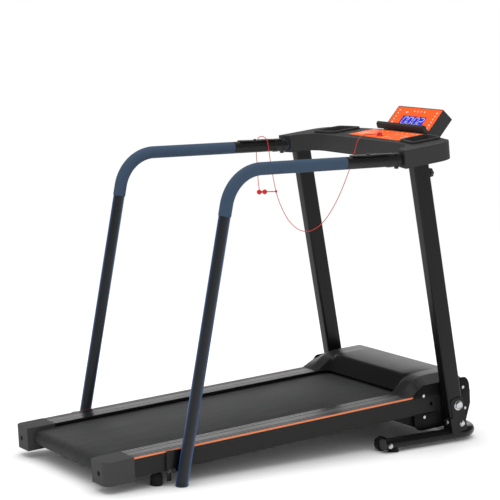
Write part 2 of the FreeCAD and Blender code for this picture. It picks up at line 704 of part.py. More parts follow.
def running_surface():
    """Deck board on its rubber cushions, and the walking belt round both rollers."""
    belt_inner = d.roller_rad + 0.06
    belt = Piece("running_belt", DECK)
    belt_loop(belt, belt_inner + d.belt_thick, d.belt_half, d.front_roller, d.rear_roller)
    level = d.roller_w
    wide = d.belt_half * 2 + 10
    belt.cut("XZ", box(-d.rear_roller, -d.front_roller, level - belt_inner, level + belt_inner), wide)
    belt.cut("XZ", Circle(-d.rear_roller, level, belt_inner), wide)
    belt.cut("XZ", Circle(-d.front_roller, level, belt_inner), wide)

    top = d.roller_w + d.roller_rad - 0.1
    board = Piece("deck_board", DECK)
    board.add("XZ", box(-d.rear_roller + 59, -d.front_roller - 44, top - d.board_thick, top),
              d.board_half * 2)
    cushions = []
    for place in (-1135, -835, -535, -235):
        for across in (120, 225):
            cushions.append(Part.makeCylinder(14, 9.7, Vector(place, across, 4.1)))
    shaped("deck_cushions", Part.makeCompound([mirrored(cushion) for cushion in cushions]), DECK)


def roller_shapes():
    """Both rollers, each a tube with closed ends turning on a fixed axle."""
    hole = d.axle_dia / 2 + 0.05
    for label, place in (("rear_roller", d.rear_roller), ("front_roller", d.front_roller)):
        roller = Piece(label, DECK)
        roller.add("XZ", Circle(-place, d.roller_w, d.roller_rad), 436)
        if label == "front_roller":
            roller.add("XZ", Circle(-place, d.roller_w, d.big_pulley), 16, -d.drive_y)
            roller.add("XZ", Circle(-place, d.roller_w, 14), 40, -as_size(float(d.drive_y) - 10))
        roller.cut("XZ", Circle(-place, d.roller_w, hole), 560)
    half = float(d.beam_out) - float(d.beam_wide) + 8
    level = float(d.roller_w)
    axles = [rod((-float(place), -half, level), (-float(place), half, level), float(d.axle_dia) / 2)
             for place in (d.rear_roller, d.front_roller)]
    shaped("roller_axles", Part.makeCompound(axles), DECK)


def drive():
    """Motor, its pulley, the ribbed drive belt and the control board."""
    place, level, radius = float(d.motor_u), float(d.motor_w), float(d.motor_rad)
    motor = rod((place, -208, level), (place, -70, level), radius)
    bell = rod((place, -70, level), (place, -56, level), radius - 6)
    base = Part.makeBox(44, 110, 12, Vector(place - 22, -195, -11.8))
    boss = rod((place, -216, level), (place, -208, level), 14)
    bore = rod((place, -217, level), (place, -180, level), 5.06)
    shaped("drive_motor", motor.fuse([bell, base, boss]).cut(bore).removeSplitter(), DECK)

    pulley = Piece("motor_pulley", DECK)
    pulley.add("XZ", Circle(place, level, d.small_pulley), 16, -d.drive_y)
    pulley.add("XZ", Circle(place, level, 5), 60, -214)

    edge = -float(d.drive_y) - 7
    far = Vector(-float(d.front_roller), edge, float(d.roller_w))
    near = Vector(place, edge, level)
    loops = [tangent_loop(far, float(d.big_pulley) + grow, near, float(d.small_pulley) + grow)
             for grow in (3.06, 0.06)]
    band = loops[0].extrude(Vector(0, 14, 0)).cut(loops[1].extrude(Vector(0, 14, 0)))
    shaped("drive_belt", band, DECK)

    board = Piece("control_board", DECK)
    board.add("XZ", box(-60, 60, -73.6, -70), 150, 130)
    board.add("XZ", box(-50, -10, -70, -42), 110, 130)
    board.add("XZ", box(10, 45, -70, -50), 90, 130)


def tangent_loop(far, far_radius, near, near_radius):
    """Face bounded by two circles and their outer tangents, seen from the side."""
    along = near - far
    angle = math.atan2(along.z, along.x)
    spread = math.acos((far_radius - near_radius) / along.Length)

    def on(centre, radius, turn):
        return centre + Vector(radius * math.cos(turn), 0, radius * math.sin(turn))

    up, down = angle + spread, angle - spread
    edges = [Part.Arc(on(far, far_radius, up), on(far, far_radius, angle + math.pi),
                      on(far, far_radius, down)).toShape(),
             Part.LineSegment(on(far, far_radius, down), on(near, near_radius, down)).toShape(),
             Part.Arc(on(near, near_radius, down), on(near, near_radius, angle),
                      on(near, near_radius, up)).toShape(),
             Part.LineSegment(on(near, near_radius, up), on(far, far_radius, up)).toShape()]
    return Part.Face(Part.Wire(edges))


def hood_profile(inset):
    """Side view of the motor hood: sloped rear, flat top, front nose over the beam ends."""
    top, front = d.hood_top - inset, d.hood_front - inset
    rear = d.hood_rear - inset
    return [(-rear, 44.4), (-rear + 35, top), (54, top), (as_size(66) - inset, 83),
            (as_size(88) - inset, 36), (front, 31), (front, -21.5), (84, -21.5), (84, 44.4)]


def hood():
    """Moulded motor cover with cheeks that run down onto the foot rails."""
    half = d.hood_half
    cover = Piece("motor_hood", DECK)
    cover.add("XZ", hood_profile(0), half * 2)
    cheek = [(-172, 44.4), (-160, 54), (-118, 82), (-83, 95), (-60, d.hood_top), (-60, 44.4)]
    for side in (1, -1):
        cover.add("XZ", cheek, half - d.step_in, (half + d.step_in) / 2 * side)
    cover.round(8, Vector(0, 0, 1), lambda point: point.x > 90)
    cover.cut("XZ", [(-130, 40), (-97, 95), (52, 95), (63, 82), (85, 34.7), (92, 30), (92, -30),
                     (81, -30), (81, 40)], half * 2 - 6)
    cover.cut("YZ", box(180, 252, -16, 28), 20, d.hood_front)

    pan = Piece("belly_pan", DECK)
    low = -d.pan_low
    pan.add("XZ", [(-222, -21.6), (-222, -25), (-121, -72), (-106, low), (70, low), (76, -62),
                   (90, -21.8), (84, -21.8)], 600)
    pan.cut("XZ", [(-208, -21), (-119, -68.6), (-105, low + 3), (67.5, low + 3), (73, -61), (84, -30),
                   (84, -21)], 594)

    inside = float(d.deck_half) + 0.3
    outline = [(-222, -24), (-121, -71), (-106, -77), (70, -77), (76, -62), (90, -22), (90, 36),
               (70, 78), (-110, 78), (-150, 46), (-150, 26), (-222, 26), (-222, -24)]
    ring = Part.makePolygon([Vector(u, inside, w) for u, w in outline])
    plate = Part.Face(ring).extrude(Vector(0, float(d.plate_thick), 0))
    plate = plate.cut(rod((0, 200, 0), (0, 400, 0), float(d.pivot_bolt_dia) / 2 + 0.05))
    shaped("side_plates", drilled(mirrored(plate), left_screws()), DECK)


def left_screws():
    """Left-hand screws that hold a side plate to the deck frame and covers."""
    seat = float(d.deck_half) + 0.3 + float(d.plate_thick)
    return [hex_bolt((u, seat, w), (0, 1, 0), 10, 3, 2.4, 2.9)
            for u, w in ((-109, 42), (-108, -31), (60, 44), (66, -30))]


def cover_screws():
    shaped("cover_screws", Part.makeCompound([mirrored(screw) for screw in left_screws()]), DECK)


def levelling_feet():
    """Screw feet under the rear of the beams: they stand upright on the floor."""
    for name, side in SIDES:
        place = DECK.multVec(Vector(-float(d.foot_u), side * float(d.foot_y), -float(d.beam_low)))
        foot = Piece(f"levelling_foot_{name}")
        foot.add("XY", Circle(place.x, place.y, 19), 30, 15)
        foot.add("XY", Circle(place.x, place.y, 16), 10, 32)
        foot.add("XY", Circle(place.x, place.y, 5), place.z - 14, (place.z + 12) / 2)


def power():
    """Mains inlet with its rocker switch, at the front of the hood."""
    inlet = Piece("power_inlet", DECK)
    front = d.hood_front
    inlet.add("YZ", box(180.4, 251.6, -15.6, 27.6), 12, front - 5)
    inlet.add("YZ", box(176, 256, -19, 31), 2, front + 1.2)
    inlet.cut("YZ", box(186, 218, -8, 20), 14, front + 0)
    inlet.cut("YZ", box(226, 246, -8, 20), 30, front + 0)
    for along in (197, 207):
        inlet.add("YZ", box(along - 1, along + 1, 0, 9), 8, front - 4)
    switch = Piece("power_switch", DECK)
    switch.add("YZ", box(226.6, 245.4, -7, 19), 6, front + 0.5)


# ---------------------------------------------------------------- lanyard
LANYARD = (
    (493.1, -20.2, 1022.8), (467, -14, 1023), (440, -8, 1021), (421, -3, 1005), (416, 2, 974),
    (410, 12, 930), (402, 28, 882), (393, 47, 832), (383, 70, 782), (370, 97, 735),
    (355, 127, 697), (337, 163, 675), (319, 199, 678), (303, 232, 702), (291, 256, 739),
    (281, 277, 785), (275, 290, 835), (270, 299, 885), (266, 305, 925), (263, 309, 962),
    (259, 311, 989), (255, 324, 1001), (251, 346, 1001), (247, 359, 989), (245, 362, 963),
    (246, 361, 926), (249, 357, 882), (243, 346, 842), (237, 329, 816.2),
)
CLIP_STRAND = (15, 16)


def lanyard():
    """Thin cord from the stop key over the console edge and the left handrail to its clip."""
    points = [Vector(*point) for point in LANYARD]
    radii = []
    for before, corner, after in zip(points, points[1:], points[2:]):
        run = min((corner - before).Length, (after - corner).Length)
        turn = (corner - before).getAngle(after - corner)
        radii.append(0.45 * run / math.tan(turn / 2))
    path = rounded_path(points, radii)
    cord = sweep(path, float(d.cord_dia) / 2)
    section = math.pi * float(d.cord_dia) ** 2 / 4
    print("cord radii", [round(radius, 1) for radius in radii])
    print(f"cord length {path.Length:.1f}, volume ratio {cord.Volume / (section * path.Length):.4f}")
    shaped("lanyard_cord", cord)

    first, last = (points[number] for number in CLIP_STRAND)
    strand = (first + last) * 0.5
    along = (last - first).normalize()
    beads = [Vector(237, 329, 805.9), Vector(254, 320, 806.5)]
    clip = Part.makeSphere(9, beads[0]).fuse(Part.makeSphere(9, beads[1]))
    clip = clip.fuse(rod(tuple(beads[0]), tuple(beads[1]), 3))
    reach = beads[1] + (strand - beads[1]) * 0.92
    clip = clip.fuse(rod(tuple(beads[1]), tuple(reach), 2.2))
    clip = clip.fuse(Part.makeCylinder(4, 7, strand - along * 3.5, along))
    clip = clip.cut(Part.makeCylinder(1.6, 40, strand - along * 20, along))
    shaped("lanyard_clip", clip.removeSplitter())


def build_all():
    floor_frame()
    tube_plugs()
    floor_pads()
    uprights()
    pivot_bolts()
    frame_bolts()
    wheels()
    console()
    keys()
    safety_socket_and_key()
    display()
    handrails()
    grip_pads()
    hand_keys()
    brackets()
    clamp_knob()
    deck_frame()
    foot_rails()
    rear_caps()
    running_surface()
    roller_shapes()
    drive()
    hood()
    cover_screws()
    levelling_feet()
    power()
    lanyard()


def check_and_write():
    """Refuse any failed object or broken shape, then export one file per sub-part."""
    doc.recompute()
    for item in doc.Objects:
        if "Invalid" in item.State or "Error" in item.State:
            raise RuntimeError(f"{item.Name} failed: {item.State}")
    for piece in PIECES:
        if piece.Shape.isNull() or not piece.Shape.isValid():
            raise RuntimeError(f"{piece.Label} has a broken shape")
    os.makedirs("parts", exist_ok=True)
    for piece in PIECES:
        piece.Shape.exportStep(f"parts/{piece.Label}.step")
    print(f"{len(PIECES)} sub-parts written")


build_all()
check_and_write()
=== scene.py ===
"""Looks of a folding walking treadmill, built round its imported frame.

Every size is in metres in the frame's own axes: +X forward, +Y to the walker's left, +Z up.
Each sub-assembly is a class that builds its surfaces with numpy and dresses them with finishes.
"""
from __future__ import annotations

import json
import logging
import math
from dataclasses import dataclass, field
from enum import Enum

import bmesh
import bpy
import numpy as np
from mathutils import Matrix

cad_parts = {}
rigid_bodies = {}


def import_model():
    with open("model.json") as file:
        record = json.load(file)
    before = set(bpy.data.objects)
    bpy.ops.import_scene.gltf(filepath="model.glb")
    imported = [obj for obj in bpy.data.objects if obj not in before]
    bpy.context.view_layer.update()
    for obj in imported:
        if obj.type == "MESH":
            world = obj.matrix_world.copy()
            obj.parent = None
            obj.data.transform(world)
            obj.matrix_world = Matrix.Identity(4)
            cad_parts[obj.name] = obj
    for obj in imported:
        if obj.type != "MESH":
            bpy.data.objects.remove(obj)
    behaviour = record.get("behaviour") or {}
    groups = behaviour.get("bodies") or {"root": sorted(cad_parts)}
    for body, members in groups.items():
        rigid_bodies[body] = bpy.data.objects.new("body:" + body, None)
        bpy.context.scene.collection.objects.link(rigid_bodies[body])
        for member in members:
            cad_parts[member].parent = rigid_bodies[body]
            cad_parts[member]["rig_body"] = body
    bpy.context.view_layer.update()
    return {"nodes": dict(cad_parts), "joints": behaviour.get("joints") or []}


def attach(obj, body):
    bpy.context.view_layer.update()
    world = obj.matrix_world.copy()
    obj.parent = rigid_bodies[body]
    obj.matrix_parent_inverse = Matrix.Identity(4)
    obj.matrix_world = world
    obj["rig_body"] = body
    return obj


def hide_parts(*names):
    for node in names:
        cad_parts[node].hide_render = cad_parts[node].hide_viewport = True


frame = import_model()
LOG = logging.getLogger("treadmill")
SIDES = (("left", 1.0), ("right", -1.0))
Tree, Socket, Piece = bpy.types.NodeTree, bpy.types.NodeSocket, bpy.types.Object
Pair = tuple[float, float]
Triple = tuple[float, float, float]
Surface = tuple[np.ndarray, list[np.ndarray]]
Seat = tuple[np.ndarray, np.ndarray, float, float]


# ------------------------------------------------------------------ places and frames
@dataclass(frozen=True)
class Tilt:
    """A frame whose own X axis rises to the front.

    Args:
        origin: the frame's origin in the object's axes.
        degrees: how far its X axis rises.
    """

    origin: Triple
    degrees: float

    def place(self, local: np.ndarray) -> np.ndarray:
        """Turn local points about +Y and move them to the origin.

        Args:
            local: array (..., 3) of points in the tilted frame.

        Returns:
            The points in the object's axes: x cos a - z sin a, y, x sin a + z cos a, plus the origin.
        """
        angle = math.radians(self.degrees)
        x, y, z = local[..., 0], local[..., 1], local[..., 2]
        return np.array(self.origin) + spread(x * math.cos(angle) - z * math.sin(angle), y,
                                              x * math.sin(angle) + z * math.cos(angle))

    def local(self, points: np.ndarray) -> np.ndarray:
        """The inverse of place: points of the object's axes in the tilted frame."""
        angle = math.radians(self.degrees)
        x, y, z = np.moveaxis(points - np.array(self.origin), -1, 0)
        return spread(x * math.cos(angle) + z * math.sin(angle), y, z * math.cos(angle) - x * math.sin(angle))


def spread(*axes: np.ndarray | float) -> np.ndarray:
    """Points from their coordinates, each an array or a number, spread to one shape (..., 2 or 3)."""
    return np.stack(np.broadcast_arrays(*axes), axis=-1)


def joint_place(name: str) -> Triple:
    """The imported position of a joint."""
    return next(tuple(joint["pos_m"]) for joint in frame["joints"] if joint["name"] == name)


DECK = Tilt(joint_place("deck_fold"), 3.1)
CONSOLE = Tilt((0.336, 0.0, 0.998), 6.5)
DISPLAY = Tilt((0.626, 0.0, 1.026), 48.7)


# ------------------------------------------------------------------ shader nodes
def feed(tree: Tree, slot: Socket, value: Socket | float | Triple | None) -> None:
    """Link a socket to an input, or set the input's own value."""
    if isinstance(value, Socket):
        tree.links.new(value, slot)
    elif value is not None:
        slot.default_value = value


def node(tree: Tree, kind: str, **inputs: Socket | float | Triple) -> bpy.types.Node:
    """Add a shader node and feed its inputs, each by its name."""
    added = tree.nodes.new(f"ShaderNode{kind}")
    for name, value in inputs.items():
        feed(tree, added.inputs[name], value)
    return added


def maths(tree: Tree, operation: str, first: Socket | float, second: Socket | float | None = None) -> Socket:
    """Add a Math node with one or two inputs, each a socket or a number; returns its result."""
    added = node(tree, "Math")
    added.operation = operation
    for slot, value in zip(added.inputs, (first, second)):
        feed(tree, slot, value)
    return added.outputs["Value"]


def texture(tree: Tree, kind: str) -> Socket:
    """The place of a shaded point: Object coordinates or UV."""
    return node(tree, "TexCoord").outputs[kind]


def noise(tree: Tree, place: Socket, scale: Socket | float, detail: float = 2.0,
          stretch: Triple | None = None) -> Socket:
    """Noise from 0 to 1.

    Args:
        tree: the tree that gets the nodes.
        place: where the noise is read.
        scale: lumps per metre.
        detail: octaves of finer noise.
        stretch: a factor for each axis of the place.

    Returns:
        The socket of its strength.
    """
    if stretch is not None:
        place = node(tree, "Mapping", Vector=place, Scale=stretch).outputs["Vector"]
    return node(tree, "TexNoise", Vector=place, Scale=scale, Detail=detail).outputs["Fac"]


def blend(tree: Tree, amount: Socket, first: Socket | Triple, second: Socket | Triple) -> Socket:
    """Mix two colours, each a socket or three numbers, by a mask; returns the result socket."""
    added = node(tree, "Mix")
    added.data_type = "RGBA"
    feed(tree, added.inputs["Factor"], amount)
    for slot, value in ((added.inputs[6], first), (added.inputs[7], second)):
        feed(tree, slot, value if isinstance(value, Socket) else (*value, 1.0))
    return added.outputs[2]


def bump(tree: Tree, height: Socket, depth: float, normal: Socket) -> Socket:
    """A Bump node of the given depth in metres on top of another normal; returns its normal."""
    return node(tree, "Bump", Height=height, Distance=depth, Normal=normal).outputs["Normal"]


class Effect(Enum):
    """Shader effects that several finishes share, each one node group."""

    GRAIN = "moulded_grain"
    WEAR = "edge_wear"
    DUST = "settled_dust"
    DIAMOND = "diamond_weave"
    THREAD = "twisted_thread"


class EffectShop:
    """Builds each shared node group the first time that a finish asks for it.

    Every group takes a Vector and an Amount. Its maker returns its outputs by name.
    """

    def __init__(self) -> None:
        """Start with no group built."""
        self.built: dict[Effect, Tree] = {}

    def get(self, effect: Effect) -> Tree:
        """The shared node tree of one effect."""
        if effect not in self.built:
            self.built[effect] = self.make(effect)
        return self.built[effect]

    def make(self, effect: Effect) -> Tree:
        """Build a group: its sockets, its nodes and the links to its outputs."""
        maker = {Effect.GRAIN: self.grain, Effect.WEAR: self.wear, Effect.DUST: self.dust,
                 Effect.DIAMOND: self.diamond, Effect.THREAD: self.thread}[effect]
        tree = bpy.data.node_groups.new(effect.value, "ShaderNodeTree")
        for name, kind in (("Vector", "Vector"), ("Amount", "Float")):
            tree.interface.new_socket(name, in_out="INPUT", socket_type=f"NodeSocket{kind}")
        source = tree.nodes.new("NodeGroupInput").outputs
        results = maker(tree, source["Vector"], source["Amount"])
        for name in results:
            kind = "Vector" if name == "Normal" else "Float"
            tree.interface.new_socket(name, in_out="OUTPUT", socket_type=f"NodeSocket{kind}")
        sink = tree.nodes.new("NodeGroupOutput")
        for name, value in results.items():
            tree.links.new(value, sink.inputs[name])
        return tree

    def grain(self, tree: Tree, place: Socket, scale: Socket) -> dict[str, Socket]:
        """Fine moulded grain: cells and soft noise give a height, slow noise gives a tone."""
        cells = node(tree, "TexVoronoi", Vector=place, Scale=scale).outputs["Distance"]
        return {"Height": maths(tree, "ADD", cells, noise(tree, place, scale, 3)),
                "Tone": noise(tree, place, 7, 5)}

    def wear(self, tree: Tree, place: Socket, radius: Socket) -> dict[str, Socket]:
        """Edge mask: where a softened normal leaves the true one, broken up by noise."""
        bevel = node(tree, "Bevel", Radius=radius)
        bevel.samples = 4
        dot = node(tree, "VectorMath")
        dot.operation = "DOT_PRODUCT"
        feed(tree, dot.inputs[0], bevel.outputs["Normal"])
        feed(tree, dot.inputs[1], node(tree, "NewGeometry").outputs["Normal"])
        gap = maths(tree, "SUBTRACT", 1.0, dot.outputs["Value"])
        mask = maths(tree, "MULTIPLY", maths(tree, "MULTIPLY", gap, noise(tree, place, 60)), 5.0)
        return {"Mask": node(tree, "Clamp", Value=mask).outputs["Result"], "Normal": bevel.outputs["Normal"]}

    def dust(self, tree: Tree, place: Socket, amount: Socket) -> dict[str, Socket]:
        """Dust mask: faces that look up, broken up by noise."""
        normal = node(tree, "NewGeometry").outputs["Normal"]
        up = maths(tree, "MAXIMUM", node(tree, "SeparateXYZ", Vector=normal).outputs["Z"], 0.0)
        broken = maths(tree, "MULTIPLY", maths(tree, "POWER", up, 6.0), noise(tree, place, 35, 8))
        return {"Mask": maths(tree, "MULTIPLY", broken, amount)}

    def diamond(self, tree: Tree, place: Socket, pitch: Socket) -> dict[str, Socket]:
        """Diamond weave: two crossed sets of ribs, |sin(u+v)| times |sin(u-v)|."""
        split = node(tree, "SeparateXYZ", Vector=place).outputs
        turn = maths(tree, "DIVIDE", math.pi, pitch)
        along, across = (maths(tree, "MULTIPLY", split[axis], turn) for axis in "XY")
        plus, minus = (maths(tree, "ABSOLUTE", maths(tree, "SINE", maths(tree, way, along, across)))
                       for way in ("ADD", "SUBTRACT"))
        height = maths(tree, "MULTIPLY", plus, minus)
        # Mask is low in the grooves; the belt darkens its colour by it as painted shade
        return {"Height": height, "Mask": maths(tree, "POWER", height, 1.4)}

    def thread(self, tree: Tree, place: Socket, pitch: Socket) -> dict[str, Socket]:
        """Braid of a cord: slanted ribs along the length, sin(k(x+y+z))."""
        split = node(tree, "SeparateXYZ", Vector=place).outputs
        total = maths(tree, "ADD", maths(tree, "ADD", split["X"], split["Y"]), split["Z"])
        turn = maths(tree, "DIVIDE", 2 * math.pi, pitch)
        return {"Height": maths(tree, "SINE", maths(tree, "MULTIPLY", total, turn))}


EFFECTS = EffectShop()


def group(tree: Tree, effect: Effect, place: Socket, amount: float) -> bpy.types.NodeOutputs:
    """Place a shared effect in a material; returns its outputs by name."""
    added = tree.nodes.new("ShaderNodeGroup")
    added.node_tree = EFFECTS.get(effect)
    feed(tree, added.inputs["Vector"], place)
    feed(tree, added.inputs["Amount"], amount)
    return added.outputs


# ------------------------------------------------------------------ finishes
@dataclass(frozen=True)
class Finish:
    """Moulded or painted surface with grain, a slow change of tone, worn edges and dust.

    Args:
        name: the material's name.
        color: base colour, linear.
        rough: roughness where clean.
        specular: strength of the plain reflection.
        metallic: 1 for bare metal.
        grain_scale: grains per metre.
        grain_height: depth of the grain in metres.
        tone: how far the colour drifts, 0 to 1.
        edge: colour of worn edges.
        edge_width: radius of the softened edge.
        dust: amount of dust on faces that look up.
        coat: strength of a clear coat.
    """

    name: str
    color: Triple
    rough: float = 0.5
    specular: float = 0.35
    metallic: float = 0.0
    grain_scale: float = 900.0
    grain_height: float = 0.00004
    tone: float = 0.25
    edge: Triple = (0.10, 0.10, 0.10)
    edge_width: float = 0.0015
    dust: float = 0.12
    coat: float = 0.0

    def make(self) -> bpy.types.Material:
        """Build the material once and return it each time."""
        found = bpy.data.materials.get(self.name)
        if found:
            return found
        material = bpy.data.materials.new(self.name)
        material.use_nodes = True
        tree = material.node_tree
        place = texture(tree, "Object")
        grain = group(tree, Effect.GRAIN, place, self.grain_scale)
        wear = group(tree, Effect.WEAR, place, self.edge_width)
        dust = group(tree, Effect.DUST, place, self.dust)
        color = self.pattern(tree, blend(tree, grain["Tone"], self.scaled(1 - self.tone),
                                         self.scaled(1 + self.tone)))
        color = blend(tree, wear["Mask"], color, self.edge)
        rough = maths(tree, "ADD", maths(tree, "MULTIPLY", grain["Tone"], 0.14), self.rough - 0.07)
        normal = bump(tree, grain["Height"], self.grain_height, wear["Normal"])
        inputs = {
            "Base Color": blend(tree, dust["Mask"], color, (0.30, 0.29, 0.28)),
            "Roughness": maths(tree, "ADD", rough, maths(tree, "MULTIPLY", dust["Mask"], 0.5)),
            "Specular IOR Level": self.specular, "Metallic": self.metallic, "Coat Weight": self.coat,
            "Coat Roughness": 0.12, "Normal": self.relief(tree, normal)}
        for name, value in inputs.items():
            feed(tree, tree.nodes["Principled BSDF"].inputs[name], value)
        return material

    def scaled(self, factor: float) -> Triple:
        """The base colour times a factor."""
        return tuple(part * factor for part in self.color)

    def pattern(self, tree: Tree, color: Socket) -> Socket:
        """Colour of a pattern laid over the plain one; a plain finish has none."""
        return color

    def relief(self, tree: Tree, normal: Socket) -> Socket:
        """Normal of a pattern laid over the grain; a plain finish has none."""
        return normal


@dataclass(frozen=True)
class WovenBelt(Finish):
    """Running belt: a diamond weave in the belt's own UV with painted shade in its grooves, and faint scuffs
    along the run.

    Args:
        pitch: distance between two ribs of the weave.
        weave_height: depth of the weave.
    """

    pitch: float = 0.011
    weave_height: float = 0.0009

    def weave(self, tree: Tree) -> bpy.types.NodeOutputs:
        """The weave's outputs, read in the UV map's metres."""
        return group(tree, Effect.DIAMOND, texture(tree, "UV"), self.pitch)

    def pattern(self, tree: Tree, color: Socket) -> Socket:
        """Grooves of the weave are painted darker than its crowns as painted shade, and long scuffs are
        paler.
        """
        # painted shade: the weave's grooves are darkened towards 0.12 of the base colour
        groove_shaded = blend(tree, self.weave(tree)["Mask"], self.scaled(0.12), color)
        scuff = noise(tree, texture(tree, "UV"), 9, 7, (0.6, 3.0, 1.0))
        amount = maths(tree, "MULTIPLY", maths(tree, "POWER", scuff, 3.0), 0.25)
        return blend(tree, amount, groove_shaded, (0.16, 0.165, 0.165))

    def relief(self, tree: Tree, normal: Socket) -> Socket:
        """The weave stands up from the belt."""
        return bump(tree, self.weave(tree)["Height"], self.weave_height, normal)


@dataclass(frozen=True)
class BraidedCord(Finish):
    """Cord with a fine braid along its length.

    Args:
        pitch: distance between two ribs of the braid.
    """

    pitch: float = 0.002

    def relief(self, tree: Tree, normal: Socket) -> Socket:
        """Slanted ribs of the braid."""
        braid = group(tree, Effect.THREAD, texture(tree, "Object"), self.pitch)
        return bump(tree, braid["Height"], 0.0002, normal)


@dataclass(frozen=True)
class TurnedMetal(Finish):
    """Metal with fine scratches.

    Args:
        stretch: scratches per metre along each axis; a small number is the way they run.
    """

    stretch: Triple = (6.0, 900.0, 900.0)

    def relief(self, tree: Tree, normal: Socket) -> Socket:
        """Scratches: noise squeezed across the axis that they run along."""
        scratch = noise(tree, texture(tree, "Object"), 1.0, stretch=self.stretch)
        return bump(tree, scratch, 0.00006, normal)


@dataclass(frozen=True)
class PlainBoard(Finish):
    """Pressed board with long fibres."""

    def pattern(self, tree: Tree, color: Socket) -> Socket:
        """Paler fibres along the board."""
        fibre = noise(tree, texture(tree, "Object"), 2.0, stretch=(3.0, 90.0, 90.0))
        return blend(tree, fibre, color, (0.030, 0.022, 0.015))


@dataclass(frozen=True)
class LitScreen(Finish):
    """Backlit liquid crystal panel.

    Args:
        glow: strength of its light.
    """

    glow: float = 0.16

    def make(self) -> bpy.types.Material:
        """Add the glow to the plain finish."""
        material = super().make()
        shader = material.node_tree.nodes["Principled BSDF"]
        shader.inputs["Emission Color"].default_value = (*self.color, 1.0)
        shader.inputs["Emission Strength"].default_value = self.glow
        return material


@dataclass(frozen=True)
class PaintedRimSheenFinish(Finish):
    """Foam or lacquer with a painted blue sheen: its colour turns to a clear blue where it is seen edge on.

    Args:
        rim: colour of the painted sheen at the edge of the silhouette.
        rim_sheen_power: how narrow the rim is.
    """

    rim: Triple = (0.06, 0.20, 0.55)
    rim_sheen_power: float = 2.4

    def pattern(self, tree: Tree, color: Socket) -> Socket:
        """Mix to the rim colour by facing ** power as a painted sheen, and draw faint streaks along the
        height.
        """
        facing = node(tree, "LayerWeight").outputs["Facing"]
        streak = noise(tree, texture(tree, "Object"), 1.0, stretch=(60.0, 60.0, 4.0))
        streaked = blend(tree, maths(tree, "MULTIPLY", streak, 0.35), color, self.scaled(1.9))
        # painted sheen: the colour turns to the rim blue where the surface is seen edge on
        return blend(tree, maths(tree, "POWER", facing, self.rim_sheen_power), streaked, self.rim)


POWDER = Finish("powder_black", (0.0042, 0.0042, 0.0044), rough=0.30, specular=0.26, grain_scale=1500,
                grain_height=0.00002, edge=(0.03, 0.03, 0.032), dust=0.02)
BEAM = Finish("beam_black", (0.0150, 0.0146, 0.0142), rough=0.46, specular=0.20, grain_scale=1500,
              grain_height=0.00003, edge=(0.04, 0.04, 0.042), dust=0.03)
CAP = Finish("cap_black", (0.0140, 0.0140, 0.0142), rough=0.50, specular=0.20, grain_scale=1100,
             grain_height=0.00006, dust=0.10)
HOOD = Finish("hood_black", (0.0040, 0.0040, 0.0041), rough=0.34, specular=0.36, grain_scale=1100,
              grain_height=0.00005, dust=0.12)
COVER = Finish("cover_black", (0.0045, 0.0045, 0.0046), rough=0.48, specular=0.16, grain_scale=1100,
               grain_height=0.00006, dust=0.05)
SHELL = Finish("shell_black", (0.0048, 0.0048, 0.0050), rough=0.28, specular=0.28, grain_scale=1300,
               grain_height=0.00003, edge=(0.03, 0.03, 0.03), dust=0.03)
GLOSS = Finish("gloss_black", (0.004, 0.004, 0.004), rough=0.24, specular=0.45, grain_scale=300,
               grain_height=0.00002, dust=0.02)
SOFT = Finish("soft_rubber", (0.008, 0.008, 0.008), rough=0.62, specular=0.22, grain_scale=1600,
              grain_height=0.00010, dust=0.03)
GRIP = Finish("grip_rubber", (0.0085, 0.0082, 0.0080), rough=0.45, specular=0.35, grain_scale=1600,
              grain_height=0.00008, dust=0.02)
# the handrail tubes and the foam sleeves carry a painted blue sheen at their edges
TUBE_BLUE = PaintedRimSheenFinish("tube_midnight", (0.0115, 0.0125, 0.0150), rough=0.36, specular=0.35, grain_scale=1500,
                       grain_height=0.00002, dust=0.0, rim=(0.06, 0.20, 0.55), rim_sheen_power=2.4)
SLEEVE = PaintedRimSheenFinish("sleeve_navy", (0.020, 0.040, 0.078), rough=0.55, specular=0.22, grain_scale=1400,
                    grain_height=0.00012, dust=0.02, rim=(0.06, 0.24, 0.62), rim_sheen_power=2.6)
ZINC = TurnedMetal("bright_zinc", (0.56, 0.57, 0.59), rough=0.26, metallic=1.0, dust=0.0, tone=0.08,
                   edge=(0.95, 0.95, 0.95), edge_width=0.0005, stretch=(300.0, 300.0, 300.0))
BLACKED = TurnedMetal("blacked_steel", (0.03, 0.03, 0.03), rough=0.30, specular=0.6, dust=0.0,
                      edge=(0.10, 0.10, 0.10), edge_width=0.0005, stretch=(300.0, 300.0, 300.0))
STEEL = TurnedMetal("turned_steel", (0.50, 0.50, 0.51), rough=0.30, metallic=1.0, dust=0.0,
                    stretch=(900.0, 6.0, 900.0))
RAIL = TurnedMetal("rail_aluminium", (0.092, 0.092, 0.094), rough=0.36, metallic=1.0, dust=0.04, tone=0.12,
                   stretch=(6.0, 900.0, 900.0), edge=(0.45, 0.45, 0.45), edge_width=0.0006)
ACCENT = Finish("accent_orange", (0.80, 0.20, 0.085), rough=0.42, edge=(0.9, 0.4, 0.25), tone=0.06,
                dust=0.0, edge_width=0.0006)
BELT = WovenBelt("belt_weave", (0.062, 0.063, 0.065), rough=0.66, specular=0.28, tone=0.10,
                 grain_scale=2500, grain_height=0.00004, dust=0.03, pitch=0.0110, weave_height=0.0009)
RIBBED = Finish("ribbed_belt", (0.010, 0.010, 0.010), rough=0.6)
BOARD = PlainBoard("deck_board", (0.022, 0.016, 0.012), rough=0.6)
MOTOR = Finish("motor_paint", (0.02, 0.02, 0.022), rough=0.4)
CIRCUIT = Finish("circuit_green", (0.01, 0.09, 0.04), rough=0.35, coat=0.3, grain_scale=300)
ORANGE = Finish("film_orange", (0.82, 0.092, 0.006), rough=0.46, specular=0.12, tone=0.05, dust=0.0,
                grain_scale=1800, grain_height=0.00002, edge=(0.9, 0.25, 0.05))
